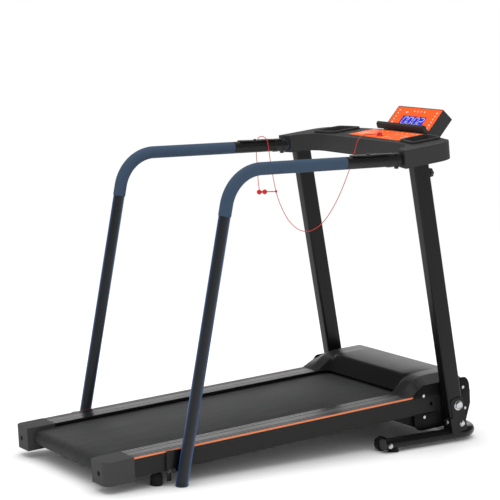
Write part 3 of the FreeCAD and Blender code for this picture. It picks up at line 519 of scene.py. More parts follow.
KEY_ORANGE = Finish("key_orange", (0.80, 0.11, 0.012), rough=0.42, specular=0.2, tone=0.05, dust=0.0,
                    edge=(1.0, 0.4, 0.15), edge_width=0.0006)
RED = Finish("moulded_red", (0.60, 0.010, 0.010), rough=0.28, specular=0.45, tone=0.06, dust=0.0,
             edge=(0.9, 0.08, 0.06), edge_width=0.0008, coat=0.15)
CORD = BraidedCord("cord_red", (0.62, 0.045, 0.04), rough=0.6, tone=0.1, dust=0.0)
PRINT = Finish("print_white", (0.86, 0.80, 0.74), rough=0.4, tone=0.03, dust=0.0, edge=(0.9, 0.9, 0.9))
SCREEN = LitScreen("screen_blue", (0.008, 0.004, 0.24), rough=0.20, specular=0.2, tone=0.08, dust=0.0,
                   edge=(0.02, 0.02, 0.4), glow=0.16)
DIGIT = LitScreen("screen_digit", (0.42, 0.42, 0.70), rough=0.3, specular=0.1, tone=0.03, dust=0.0,
                  edge=(0.8, 0.8, 1.0), glow=0.15)

NODES_OF: tuple[tuple[Finish, str], ...] = (
    (POWDER, "floor_frame upright_left upright_right console_crossbar handrail_brackets"),
    (CAP, "tube_plugs clamp_knob rear_caps"),
    (SOFT, "floor_pads transport_wheel_left transport_wheel_right deck_cushions levelling_foot_left "
           "levelling_foot_right"),
    (ZINC, "pivot_bolts frame_bolts roller_axles cover_screws"),
    (SHELL, "console_top console_underside key_socket display_housing display_neck phone_ledge"),
    (GLOSS, "console_trays hand_key_left hand_key_right power_inlet power_switch"),
    (ORANGE, "keypad_panel display_fascia"),
    (KEY_ORANGE, "key_start key_faster key_slower"),
    (RED, "key_stop safety_key lanyard_clip"),
    (SCREEN, "display_screen"),
    (CIRCUIT, "display_board control_board"),
    (TUBE_BLUE, "handrail_left handrail_right handrail_foot_caps"),
    (SLEEVE, "handrail_sleeves"),
    (GRIP, "hand_grips"),
    (BEAM, "deck_frame"),
    (RAIL, "foot_rails"),
    (ACCENT, "accent_strips"),
    (BELT, "running_belt"),
    (BOARD, "deck_board"),
    (STEEL, "rear_roller front_roller motor_pulley"),
    (MOTOR, "drive_motor"),
    (RIBBED, "drive_belt"),
    (HOOD, "motor_hood"),
    (COVER, "belly_pan side_plates"),
    (CORD, "lanyard_cord"),
)


# ------------------------------------------------------------------ surfaces
def ring_faces(rows: int, columns: int, closed_rows: bool = False) -> np.ndarray:
    """Quads of a grid whose columns close into rings.

    Args:
        rows: number of rings.
        columns: points in each ring.
        closed_rows: whether the last ring joins the first.

    Returns:
        Array (n, 4) of indices: (i, j), (i, j+1), (i+1, j+1), (i+1, j).
    """
    row = np.arange(rows if closed_rows else rows - 1)[:, None]
    column = np.arange(columns)[None, :]
    beyond, beside = (row + 1) % rows, (column + 1) % columns
    corners = (row * columns + column, row * columns + beside,
               beyond * columns + beside, beyond * columns + column)
    return np.stack(corners, axis=-1).reshape(-1, 4)


def enclosed_volume(points: np.ndarray, faces: list[np.ndarray]) -> float:
    """Signed volume: a sixth of the sum of p0 . (pi x pi+1) over every face's fan."""
    total = 0.0
    for block in faces:
        corner = points[block]
        first = corner[:, :1]
        total += float(np.sum(first * np.cross(corner[:, 1:-1], corner[:, 2:]))) / 6
    return total


def build(name: str, points: np.ndarray, faces: list[np.ndarray], sharp: float = 35.0) -> Piece:
    """Put a closed surface into a new object, faces outwards.

    Args:
        name: the piece's name.
        points: array (n, 3).
        faces: blocks of faces, each block an array with one number of corners.
        sharp: edges that turn more than this many degrees stay sharp.

    Returns:
        The object, linked to the scene.
    """
    if enclosed_volume(points, faces) < 0:
        faces = [block[:, ::-1] for block in faces]
    sizes = np.concatenate([np.full(len(block), block.shape[1]) for block in faces])
    corners = np.concatenate([block.ravel() for block in faces])
    mesh = bpy.data.meshes.new(name)
    mesh.vertices.add(len(points))
    mesh.vertices.foreach_set("co", np.ascontiguousarray(points, dtype=np.float32).ravel())
    mesh.loops.add(len(corners))
    mesh.loops.foreach_set("vertex_index", corners.astype(np.int32))
    mesh.polygons.add(len(sizes))
    starts = np.concatenate([[0], np.cumsum(sizes)[:-1]])
    mesh.polygons.foreach_set("loop_start", starts.astype(np.int32))
    mesh.update(calc_edges=True)
    mesh.validate()
    return show(name, mesh, sharp)


def linked(name: str, data: bpy.types.ID) -> Piece:
    """A new object of the scene that holds a mesh, curve, light or camera."""
    piece = bpy.data.objects.new(name, data)
    bpy.context.scene.collection.objects.link(piece)
    return piece


def show(name: str, mesh: bpy.types.Mesh, sharp: float) -> Piece:
    """Link a mesh as an object with smooth faces and sharp edges past an angle."""
    mesh.shade_smooth()
    mesh.set_sharp_from_angle(angle=math.radians(sharp))
    return linked(name, mesh)


def read(items: bpy.types.bpy_prop_collection, name: str, width: int, kind: type = np.float32) -> np.ndarray:
    """One attribute of every vertex, edge, corner or face of a mesh, as an array (n, width)."""
    values = np.zeros(len(items) * width, dtype=kind)
    items.foreach_get(name, values)
    return values.reshape(-1, width)


def tube(rings: np.ndarray, closed_rows: bool = False) -> Surface:
    """Points and faces of stacked rings, with a flat cap on each open end.

    Args:
        rings: array (rows, columns, 3).
        closed_rows: whether the stack closes on itself, so that it has no ends.

    Returns:
        Points (n, 3) and face blocks.
    """
    rows, columns = rings.shape[:2]
    faces = [ring_faces(rows, columns, closed_rows)]
    if not closed_rows:
        first = np.arange(columns)
        faces.append(first[None, ::-1])
        faces.append(first[None, :] + (rows - 1) * columns)
    return rings.reshape(-1, 3), faces


def joined(parts: list[Surface]) -> Surface:
    """Several closed surfaces as one set of points and faces, each turned outwards first."""
    points, faces, count = [], [], 0
    for part_points, part_faces in parts:
        if enclosed_volume(part_points, part_faces) < 0:
            part_faces = [block[:, ::-1] for block in part_faces]
        points.append(part_points)
        faces += [block + count for block in part_faces]
        count += len(part_points)
    sizes = sorted({block.shape[1] for block in faces})
    merged = [np.concatenate([block for block in faces if block.shape[1] == size]) for size in sizes]
    return np.concatenate(points), merged


def circle(radius: float, count: int) -> np.ndarray:
    """Points (count, 2) round a circle: r cos a, r sin a."""
    angle = np.linspace(0, 2 * math.pi, count, endpoint=False)
    return radius * spread(np.cos(angle), np.sin(angle))


def offset(outline: np.ndarray, inset: float) -> np.ndarray:
    """Move a closed outline inwards.

    Args:
        outline: array (n, 2).
        inset: how far each edge moves; negative moves it outwards.

    Returns:
        Each corner moved along the mean normal of its edges by inset / cos(half the turn).
    """
    before = outline - np.roll(outline, 1, axis=0)
    after = np.roll(outline, -1, axis=0) - outline
    before /= np.linalg.norm(before, axis=1, keepdims=True)
    after /= np.linalg.norm(after, axis=1, keepdims=True)
    left = spread(-before[:, 1], before[:, 0])
    mean = left + spread(-after[:, 1], after[:, 0])
    mean /= np.linalg.norm(mean, axis=1, keepdims=True)
    cosine = np.maximum(np.sum(mean * left, axis=1), 0.5)
    x, y = outline.T
    turn = 1.0 if np.sum(x * np.roll(y, -1) - np.roll(x, -1) * y) > 0 else -1.0
    return outline + turn * inset * mean / cosine[:, None]


def eased(corners: list[Pair], radius: float, count: int = 6) -> np.ndarray:
    """A closed outline with its corners eased.

    Args:
        corners: the sharp corners.
        radius: how far from a corner its curve starts.
        count: points on each curve.

    Returns:
        Array (n, 2): at each corner (1-t)^2 a + 2t(1-t) corner + t^2 b.
    """
    corner = np.array(corners, dtype=float)
    back = np.roll(corner, 1, axis=0) - corner
    ahead = np.roll(corner, -1, axis=0) - corner
    first = corner + radius * back / np.linalg.norm(back, axis=1, keepdims=True)
    last = corner + radius * ahead / np.linalg.norm(ahead, axis=1, keepdims=True)
    t = np.linspace(0, 1, count)[None, :, None]
    curve = (1 - t) ** 2 * first[:, None] + 2 * t * (1 - t) * corner[:, None] + t ** 2 * last[:, None]
    return curve.reshape(-1, 2)


def plate(outline: np.ndarray, low: float, high: float, edge: float) -> np.ndarray:
    """Rings of a flat plate with softened rims.

    Args:
        outline: array (n, 2).
        low: lower face.
        high: upper face.
        edge: size of the softened rim.

    Returns:
        Array (6, n, 3) of (a, b, height).
    """
    small = offset(outline, edge)
    middle = offset(outline, edge * 0.3)
    steps = ((small, low), (middle, low + 0.3 * edge), (outline, low + edge), (outline, high - edge),
             (middle, high - 0.3 * edge), (small, high))
    return np.stack([np.insert(ring, 2, level, axis=1) for ring, level in steps])


def carried(path: np.ndarray, side: np.ndarray, outline: np.ndarray) -> np.ndarray:
    """Rings of an outline carried along a path that lies in one plane.

    Args:
        path: array (n, 3) of centres.
        side: unit normal of the path's plane.
        outline: array (m, 2), or (n, m, 2) where it changes on the way.

    Returns:
        Array (n, m, 3): centre + a side + b (tangent x side).
    """
    tangent = np.gradient(path, axis=0)
    tangent /= np.linalg.norm(tangent, axis=1, keepdims=True)
    up = np.cross(tangent, side)
    if outline.ndim == 2:
        outline = np.broadcast_to(outline, (len(path), *outline.shape))
    return path[:, None] + outline[..., :1] * side + outline[..., 1:] * up[:, None]


def bent(points: list[Triple], radius: float, step: float) -> np.ndarray:
    """A line with rounded corners.

    Args:
        points: the corners.
        radius: radius of every bend.
        step: spacing of the samples on a bend.

    Returns:
        Array (n, 3): straight runs and, at each corner, centre - r (cos t b + sin t a) of the arc.
    """
    corners = [np.array(point, dtype=float) for point in points]
    pieces = [corners[0][None]]
    for before, corner, after in zip(corners, corners[1:], corners[2:]):
        back = (before - corner) / np.linalg.norm(before - corner)
        ahead = (after - corner) / np.linalg.norm(after - corner)
        half = math.acos(float(np.clip(back @ ahead, -1, 1))) / 2
        middle = (back + ahead) / np.linalg.norm(back + ahead)
        centre = corner + middle * radius / math.sin(half)
        sweep = math.pi / 2 - half
        angles = np.linspace(-sweep, sweep, max(4, int(2 * sweep * radius / step)))[:, None]
        across = (ahead - back) / np.linalg.norm(ahead - back)
        pieces.append(centre - radius * (np.cos(angles) * middle - np.sin(angles) * across))
    pieces.append(corners[-1][None])
    return np.concatenate(pieces)


def turned(profile: np.ndarray, count: int = 48) -> np.ndarray:
    """Rings of a profile (n, 2) of radius and height turned about Z: r cos a, r sin a, h."""
    x, y = circle(1.0, count).T
    radius, height = profile.T[..., None]
    return spread(radius * x, radius * y, height)


def aimed(points: np.ndarray, seat: np.ndarray, out: np.ndarray) -> np.ndarray:
    """Points turned so that their +Z runs along out, and moved to the seat."""
    out = out / np.linalg.norm(out)
    helper = np.array([0.0, 0.0, 1.0]) if abs(out[2]) < 0.9 else np.array([1.0, 0.0, 0.0])
    first = np.cross(helper, out)
    first /= np.linalg.norm(first)
    return points @ np.stack([first, np.cross(out, first), out]) + seat


def soften(node: str, width: float, finish: Finish, segments: int = 2, sharp: float = 30.0) -> Piece:
    """A copy of a CAD node with merged faces and rounded edges that stands for the node.

    Args:
        node: the CAD node.
        width: how wide its edges are rounded.
        finish: its finish.
        segments: faces across each rounded edge.
        sharp: only edges that turn more than this many degrees are rounded.

    Returns:
        The new piece, riding on the node's body.
    """
    source = frame["nodes"][node]
    mesh = source.data.copy()
    shape = bmesh.new()
    shape.from_mesh(mesh)
    bmesh.ops.remove_doubles(shape, verts=shape.verts, dist=0.00002)
    bmesh.ops.dissolve_limit(shape, angle_limit=math.radians(0.6), verts=shape.verts, edges=shape.edges)
    shape.to_mesh(mesh)
    shape.free()
    mesh.name = f"{node}_soft"
    piece = show(f"{node}_soft", mesh, sharp)
    rounding = piece.modifiers.new("rounded_edges", "BEVEL")
    rounding.limit_method = "ANGLE"
    rounding.angle_limit = math.radians(sharp)
    rounding.width = width
    rounding.segments = segments
    rounding.harden_normals = True
    return dress(piece, finish, source["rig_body"], [node])


def dress(piece: Piece, finish: Finish, body: str, nodes: list[str] | None = None) -> Piece:
    """Give a piece its finish, its body and the CAD nodes that it stands for.

    Args:
        piece: the new piece.
        finish: its finish.
        body: the CAD body that it rides on.
        nodes: CAD nodes that it replaces.

    Returns:
        The same piece.
    """
    piece.data.materials.clear()
    piece.data.materials.append(finish.make())
    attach(piece, body)
    if nodes:
        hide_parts(*nodes)
    LOG.info("piece %s rides on %s", piece.name, body)
    return piece


def made(name: str, parts: list[Surface], finish: Finish, body: str, nodes: list[str] | None = None,
         sharp: float = 35.0) -> Piece:
    """Join closed surfaces into one piece and dress it."""
    return dress(build(name, *joined(parts), sharp), finish, body, nodes)


# ------------------------------------------------------------------ studio
@dataclass
class Studio:
    """Camera, soft lights and a pale floor.

    Args:
        eye: where the camera stands.
        lens: its focal length in millimetres.
        pitch: degrees from straight down to its axis.
        heading: its turn about Z in degrees.
        room: strength of the dim room that lights and reflects.
        floor_tone: the floor's own grey near the object.
        floor_near: distance at which the floor starts to fade.
        floor_far: distance at which it is plain white.
        floor_half: half of the floor's side.
        floor_level: height of the floor, a hair below the feet.
        reflected: share of the room that reflections show.
    """

    eye: Triple = (-3.338, -5.171, 1.540)
    lens: float = 134.86
    pitch: float = 81.843
    heading: float = -32.74
    room: float = 0.82
    floor_tone: float = 0.91
    floor_near: float = 1.6
    floor_far: float = 4.2
    floor_half: float = 30.0
    floor_level: float = -0.0005
    reflected: float = 0.16

    def camera(self) -> None:
        """Place the camera and make it the scene's own."""
        data = bpy.data.cameras.new("view")
        data.lens = self.lens
        data.sensor_width = 36
        data.clip_end = 100
        holder = linked("view", data)
        holder.location = self.eye
        holder.rotation_euler = (math.radians(self.pitch), 0, math.radians(self.heading))
        bpy.context.scene.camera = holder

    def panel(self, name: str, place: Triple, aim: Triple,
              size: Pair, power: float, mirrored: bool = True) -> None:
        """Add one rectangular soft light.

        Args:
            name: the light's name.
            place: where it hangs.
            aim: the point that it faces.
            size: its width and height.
            power: its strength in watts.
            mirrored: whether glossy surfaces show it.
        """
        data = bpy.data.lights.new(name, "AREA")
        data.shape = "RECTANGLE"
        data.size, data.size_y = size
        data.energy = power
        holder = linked(name, data)
        holder.location = place
        away = np.array(place) - np.array(aim)
        pitch = math.acos(away[2] / np.linalg.norm(away))
        holder.rotation_euler = (pitch, 0, math.atan2(away[0], -away[1]))
        holder.visible_camera = False
        holder.visible_glossy = mirrored

    def floor(self) -> None:
        """A wide pale floor that catches shadows near the object and fades to plain white far away."""
        mesh = bpy.data.meshes.new("studio_floor")
        half, level = self.floor_half, self.floor_level
        mesh.from_pydata([(-half, -half, level), (half, -half, level), (half, half, level),
                          (-half, half, level)], [], [(0, 1, 2, 3)])
        material = bpy.data.materials.new("studio_floor")
        material.use_nodes = True
        tree = material.node_tree
        length = node(tree, "VectorMath")
        length.operation = "LENGTH"
        feed(tree, length.inputs[0], texture(tree, "Object"))
        fade = node(tree, "MapRange", **{"Value": length.outputs["Value"], "From Min": self.floor_near,
                                         "From Max": self.floor_far})
        fade.interpolation_type = "SMOOTHSTEP"
        share = fade.outputs["Result"]
        inputs = {"Base Color": blend(tree, share, (self.floor_tone,) * 3, (0.0, 0.0, 0.0)),
                  "Roughness": 0.9, "Specular IOR Level": 0.1, "Emission Color": (1, 1, 1, 1),
                  "Emission Strength": share}
        for name, value in inputs.items():
            feed(tree, tree.nodes["Principled BSDF"].inputs[name], value)
        mesh.materials.append(material)
        linked("studio_floor", mesh)

    def world(self) -> None:
        """White behind the object for the camera, and a dimmer room for light and reflections."""
        world = bpy.data.worlds.new("studio")
        world.use_nodes = True
        tree = world.node_tree
        rays = node(tree, "LightPath").outputs
        dim = maths(tree, "MULTIPLY", rays["Is Glossy Ray"], -self.room * (1 - self.reflected))
        mix = node(tree, "MixShader", Fac=rays["Is Camera Ray"])
        for slot, strength in ((1, maths(tree, "ADD", dim, self.room)), (2, 1.0)):
            light = node(tree, "Background", Color=(1, 1, 1, 1), Strength=strength)
            feed(tree, mix.inputs[slot], light.outputs["Background"])
        feed(tree, tree.nodes["World Output"].inputs["Surface"], mix.outputs["Shader"])
        bpy.context.scene.world = world

    def build(self) -> None:
        """Set up view, world, floor and lights."""
        self.camera()
        bpy.context.scene.view_settings.view_transform = "Standard"
        self.world()
        self.floor()
        self.panel("top", (-0.2, -0.2, 3.6), (0, 0, 0), (4.5, 4.5), 84, False)
        self.panel("back", (3.4, 4.6, 1.6), (0.2, 0, 0.6), (7.0, 2.8), 80)
        self.panel("fill", (-1.4, -3.4, 0.8), (0.1, 0.1, 0.0), (3.2, 0.8), 10, False)
        self.panel("strip", (0.6, 1.6, 3.4), (0, 0, 0.5), (5.0, 0.5), 26)


# ------------------------------------------------------------------ lanyard
@dataclass
class Lanyard:
    """Red cord from the stop key, over the console edge and the left handrail, to its clip.

    Args:
        route: control points of the cord in metres.
        width: the cord's diameter.
        length: the cord's real length; not used.
        beads: centres of the clip's two beads.
        bead_radius: radius of a bead.
        strand: the two route points that the clip's collar sits between.
    """

    route: tuple[Triple, ...] = (
        (0.4931, -0.0202, 1.0228), (0.467, -0.014, 1.023), (0.440, -0.008, 1.021), (0.421, -0.003, 1.005),
        (0.416, 0.002, 0.974), (0.410, 0.012, 0.930), (0.402, 0.028, 0.882), (0.393, 0.047, 0.832),
        (0.383, 0.070, 0.782), (0.370, 0.097, 0.735), (0.355, 0.127, 0.697), (0.337, 0.163, 0.675),
        (0.319, 0.199, 0.678), (0.303, 0.232, 0.702), (0.291, 0.256, 0.739), (0.281, 0.277, 0.785),
        (0.275, 0.290, 0.835), (0.270, 0.299, 0.885), (0.266, 0.305, 0.925), (0.263, 0.309, 0.962),
        (0.259, 0.311, 0.989), (0.255, 0.324, 1.001), (0.251, 0.346, 1.001), (0.247, 0.359, 0.989),
        (0.245, 0.362, 0.963), (0.246, 0.361, 0.926), (0.249, 0.357, 0.882), (0.243, 0.346, 0.842),
        (0.237, 0.329, 0.8162))
    width: float = 0.0026
    length: float = 1.092
    beads: tuple[Triple, ...] = ((0.237, 0.329, 0.8059), (0.254, 0.320, 0.8065))
    bead_radius: float = 0.009
    strand: tuple[int, int] = (15, 16)

    def clip(self) -> Piece:
        """Two lobed beads, a link between them, and an arm to the collar round the strand.

        A bead is a sphere with a raised seam: r (1 + 0.05 exp(-(h/0.12)^2)) at height h.
        """
        height = np.linspace(-1, 1, 33)
        height = np.sin(height * math.pi / 2) * 0.999
        radius = np.sqrt(1 - height ** 2) * (1 + 0.05 * np.exp(-(height / 0.12) ** 2))
        profile = spread(radius, height) * self.bead_radius
        first, second = np.array(self.beads[0]), np.array(self.beads[1])
        low, high = (np.array(self.route[number]) for number in self.strand)
        strand = (low + high) / 2
        parts = [tube(aimed(turned(profile, 32), centre, second - first)) for centre in (first, second)]
        parts.append(self.bar(first, second, 0.003))
        parts.append(self.bar(second, second + (strand - second) * 0.93, 0.0018))
        collar = np.array([(0.0016, -0.004), (0.0034, -0.004), (0.0042, -0.003), (0.0042, 0.003),
                           (0.0034, 0.004), (0.0016, 0.004)])
        ring = aimed(turned(collar, 24), strand, high - low)
        parts.append(tube(ring, closed_rows=True))
        points, faces = joined(parts)
        return build("clip_beads", points, faces)

    def bar(self, start: np.ndarray, end: np.ndarray, radius: float) -> Surface:
        """A round bar between two points, as rings of a turned profile."""
        long = float(np.linalg.norm(end - start))
        profile = np.array([(radius * 0.7, 0.0), (radius, radius * 0.4), (radius, long - radius * 0.4),
                            (radius * 0.7, long)])
        return tube(aimed(turned(profile, 20), start, end - start))

    def cord(self) -> Piece:
        """The cord: a smooth NURBS line through the route's control points."""
        curve = bpy.data.curves.new("lanyard_line", "CURVE")
        curve.dimensions = "3D"
        curve.bevel_depth = self.width / 2
        curve.bevel_resolution = 4
        curve.resolution_u = 10
        curve.use_fill_caps = True
        spline = curve.splines.new("NURBS")
        spline.points.add(len(self.route) - 1)
        spline.points.foreach_set("co", np.array([(*point, 1.0) for point in self.route]).ravel())
        spline.order_u = 3
        spline.use_endpoint_u = True
        return linked("lanyard_line", curve)

    def build(self) -> None:
        cord = dress(self.cord(), CORD, "safety_key", ["lanyard_cord"])
        clip = dress(self.clip(), RED, "safety_key", ["lanyard_clip"])


# ------------------------------------------------------------------ fasteners
@dataclass
class Bolts:
    """Hex bolts with chamfered heads on flat washers.

    Args:
        name: the piece's name.
        seats: (seat, outward direction, width across flats, head height) of each bolt.
    """

    name: str
    seats: list[Seat] = field(default_factory=list)

    def head(self, across: float, height: float) -> np.ndarray:
        """Rings of a hex head: radius min(apothem / cos(fold(a)), chamfer circle), up to a dished top.

        Args:
            across: width across flats.
            height: height of the head.

        Returns:
            Array (rows, columns, 3) with +Z outwards.
        """
        count = 72
        angle = np.linspace(0, 2 * math.pi, count, endpoint=False)
        folded = (angle + math.pi / 6) % (math.pi / 3) - math.pi / 6
        hexagon = across / 2 / np.cos(folded)
        corner = across / math.sqrt(3)
        limit = np.array([corner, corner, corner * 0.94, across * 0.47, across * 0.40, across * 0.02])
        level = np.array([0.0, height * 0.72, height * 0.88, height, height * 0.93, height * 0.93])
        radius = np.minimum(hexagon[None], limit[:, None])
        return spread(radius * np.cos(angle), radius * np.sin(angle), level[:, None])

    def build(self, body: str, node: str, finish: Finish = ZINC) -> None:
        """Make every bolt of the group as one piece.

        Args:
            body: the body that they ride on.
            node: the CAD node that they stand for.
            finish: their finish.
        """
        parts = []
        for seat, out, across, height in self.seats:
            thick = min(0.0012, height * 0.2)
            wide = across * 0.68
            washer = np.array([(wide * 0.02, -0.0015), (wide * 0.95, -0.0015), (wide, 0.0),
                               (wide, thick * 0.7), (wide * 0.95, thick), (wide * 0.02, thick)])
            parts.append(tube(aimed(turned(washer, 40), seat, out)))
            parts.append(tube(aimed(self.head(across, height - thick) + np.array([0, 0, thick * 0.98]),
                                    seat, out)))
        made(self.name, parts, finish, body, [node], 28)


# ------------------------------------------------------------------ fixed stand
@dataclass
class Stand:
    """Floor tube, uprights, pads, wheels and bolts.

    Args:
        post_lean: how far the uprights lean back, in degrees.
        post_half: half width and half depth of an upright.
        post_y: how far out an upright stands.
        wall: thickness of the channel round its foot, with its gap.
        foot_x: where an upright's centre line meets the floor.
        leg_out: outer side of the floor tube's legs.
        wheel: place along X and height of the wheels' axles.
        bracket: outer side, height and two places of the handrail brackets' bolts.
    """

    post_lean: float = 10.9
    post_half: Pair = (0.030, 0.020)
    post_y: float = 0.340
    wall: float = 0.0033
    foot_x: float = 0.605
    leg_out: float = 0.361
    wheel: Pair = (0.306, 0.0238)
    bracket: tuple[float, float, Pair] = (0.3158, 0.048, (-0.513, -0.497))

    def bolt_seats(self) -> list[Seat]:
        """Seats of the frame's bolts, for both sides."""
        seats = []
        for _, side in SIDES:
            post = Tilt((self.foot_x, side * self.post_y, 0.0), self.post_lean)
            out = np.array([0.0, side, 0.0])
            face = side * (self.post_half[1] + self.wall)
            seats.append((post.place(np.array([0.012, face, 0.062])), out, 0.015, 0.0055))
            back = post.place(np.array([-self.post_half[0] - self.wall, 0.0, 0.078]))
            lean = math.radians(self.post_lean)
            seats.append((back, np.array([-math.cos(lean), 0.0, -math.sin(lean)]), 0.015, 0.0055))
            seats.append((np.array([self.wheel[0], side * self.leg_out, self.wheel[1]]), out, 0.013, 0.005))
        return seats

    def build(self) -> None:
        """Soften the welded steel and put detailed bolts on it."""
        for name, width, finish in (
                ("floor_frame", 0.0010, POWDER), ("tube_plugs", 0.0012, CAP), ("floor_pads", 0.0012, SOFT),
                ("upright_left", 0.0012, POWDER), ("transport_wheel_left", 0.0016, SOFT),
                ("upright_right", 0.0012, POWDER), ("transport_wheel_right", 0.0016, SOFT),
                ("clamp_knob", 0.0016, CAP), ("console_crossbar", 0.0020, POWDER)):
            soften(name, width, finish)
        Bolts("stand_bolts", self.bolt_seats()).build("stand", "frame_bolts")
        outer, height, places = self.bracket
        low = [(np.array([place, side * outer, height]), np.array([0.0, side, 0.0]), 0.011, 0.005)
               for _, side in SIDES for place in places]
        Bolts("bracket_bolts", low).build("stand", "frame_bolts", BLACKED)
        outer = self.post_y + self.post_half[1] + self.wall
        seats = [(np.array(DECK.origin) + np.array([0.0, side * outer, 0.0]), np.array([0.0, side, 0.0]),
                  0.025, 0.008) for _, side in SIDES]
        Bolts("pivot_heads", seats).build("stand", "pivot_bolts")
        soften("handrail_brackets", 0.0004, POWDER)


# ------------------------------------------------------------------ handrails
@dataclass
class Handrails:
    """Bent tubes, foam sleeves, grips and foot caps.

    Args:
        across: how far out each rail stands.
        radius: the steel tube's radius.
        foam: radius over the foam sleeve.
        foot: where the tube's centre line meets the floor.
        lean: how far the post leans forward, in degrees.
        top: height of the level run.
        bend: radius of the bend.
        end: where the tube ends in the console.
        sleeve: height at which the foam starts and place along the run where it ends.
        slack: gap between the tube and what is pushed over it.
    """

    across: float = 0.335
    radius: float = 0.019
    foam: float = 0.0205
    foot: float = -0.479
    lean: float = 10.8
    top: float = 0.967
    bend: float = 0.130
    end: float = 0.383
    sleeve: Pair = (0.827, 0.131)
    slack: float = 0.00005

    def line(self, side: float, low: float, end: float) -> np.ndarray:
        """Centre line from height low, round the bend, to the place end."""
        slope = math.tan(math.radians(self.lean))
        return bent([(self.foot + slope * low, side * self.across, low),
                     (self.foot + slope * self.top, side * self.across, self.top),
                     (end, side * self.across, self.top)], self.bend, 0.004)

    def pipe(self, name: str, side: float, body: str, node: str) -> None:
        """One steel tube, from the plug in its foot to its end in the console."""
        path = self.line(side, 0.0063, self.end)
        rings = carried(path, np.array([0.0, 1.0, 0.0]), circle(self.radius, 64))
        made(name, [tube(rings)], TUBE_BLUE, body, [node])

    def sleeves(self) -> None:
        """Foam sleeves: the outer tube rounds down by 1 - sqrt(1 - lip^2) at both ends, then turns inside."""
        parts = []
        across = np.array([0.0, 1.0, 0.0])
        for _, side in SIDES:
            path = self.line(side, self.sleeve[0], self.sleeve[1])
            run = np.concatenate([[0], np.cumsum(np.linalg.norm(np.diff(path, axis=0), axis=1))])
            fine = np.concatenate([np.linspace(0, 0.004, 9)[:-1], np.linspace(0.004, run[-1] - 0.004, 200),
                                   np.linspace(run[-1] - 0.004, run[-1], 9)[1:]])
            path = spread(*(np.interp(fine, run, axis) for axis in path.T))
            lip = 1 - np.clip(np.minimum(fine, run[-1] - fine) / 0.003, 0, 1)
            outer = self.foam - 0.0012 * (1 - np.sqrt(1 - lip ** 2))
            unit = circle(1.0, 64)
            outside = carried(path, across, outer[:, None, None] * unit[None])
            inside = carried(path, across, (self.radius + self.slack) * unit)
            parts.append(tube(np.concatenate([outside, inside[::-1]]), closed_rows=True))
        made("foam_sleeves", parts, SLEEVE, "stand", ["handrail_sleeves"])

    def grips(self) -> None:
        """Grips: a turned sleeve with a stepped collar, a thin pad on top and a boss below.

        The pad's section is the superellipse (17 |cos|^0.5, 2.7 |sin|^0.5) mm, and it waves by 0.5 mm.
        """
        ahead = np.array([1.0, 0.0, 0.0])
        bore = self.radius + self.slack
        sleeve = np.array([(bore, 0.1314), (0.0196, 0.1314), (0.0204, 0.1320), (0.0205, 0.1330),
                           (0.0205, 0.2960), (0.0210, 0.2972), (0.0222, 0.2978), (0.0226, 0.2990),
                           (0.0226, 0.3150),
                           (0.0222, 0.3162), (0.0212, 0.3168), (0.0212, 0.3280), (0.0230, 0.3288),
                           (0.0238, 0.3300), (0.0238, 0.3440), (0.0232, 0.3455), (bore, 0.3455)])
        x = np.linspace(0, 1, 61)
        x = 0.1554 + (0.3300 - 0.1554) * (1 - np.cos(math.pi * x)) / 2
        near = np.minimum(x - x[0], x[-1] - x)
        taper = np.sqrt(1 - (1 - np.clip(near / 0.006, 0.02, 1)) ** 2)
        angle = np.linspace(0, 2 * math.pi, 40, endpoint=False)
        wide = np.sign(np.cos(angle)) * np.abs(np.cos(angle)) ** 0.5
        tall = np.sign(np.sin(angle)) * np.abs(np.sin(angle)) ** 0.5
        wave = 0.0005 * np.sin((x - x[0]) / 0.175 * 4 * math.pi)
        parts = []
        for _, side in SIDES:
            centre = np.array([0.0, side * self.across, self.top])
            parts.append(tube(aimed(turned(sleeve, 64), centre, ahead), closed_rows=True))
            parts.append(tube(spread(x[:, None], side * self.across + 0.017 * taper[:, None] * wide,
                                     self.top + 0.0210 + wave[:, None] + 0.0027 * taper[:, None] * tall)))
            boss = np.array([(0.0070, -0.0200), (0.0070, -0.0270), (0.0062, -0.0282), (0.0010, -0.0282)])
            parts.append(tube(turned(boss, 24) + centre + np.array([0.336, 0.0, 0.0])))
        made("grip_sleeves", parts, GRIP, "stand", ["hand_grips"])

    def feet(self) -> None:
        """Plugs at the foot of each post: a turned cup that leans with the tube and stands on the floor."""
        slope = math.tan(math.radians(self.lean))
        cup = np.array([(0.0002, 0.0), (0.0185, 0.0), (0.0202, 0.0010), (0.0205, 0.0030), (0.0202, 0.0058),
                        (0.0192, 0.0062), (0.0002, 0.0062)])
        parts = []
        for _, side in SIDES:
            rings = turned(cup, 64)
            rings[..., 0] += self.foot + slope * rings[..., 2]
            rings[..., 1] += side * self.across
            parts.append(tube(rings))
        made("foot_plugs", parts, TUBE_BLUE, "stand", ["handrail_foot_caps"])

    def build(self) -> None:
        """Make every piece of both handrails."""
        for side, sign in SIDES:
            self.pipe(f"rail_tube_{side}", sign, "stand", f"handrail_{side}")
            soften(f"hand_key_{side}", 0.0006, GLOSS)
        self.sleeves()
        self.grips()
        self.feet()


# ------------------------------------------------------------------ printed marks
class Mark(Enum):
    """Small generic symbols that are printed on the panels."""

    DISC = 0
    BAR = 1
    DROP = 2
    PAIR = 3
    SQUARE = 4
    CROSS = 5


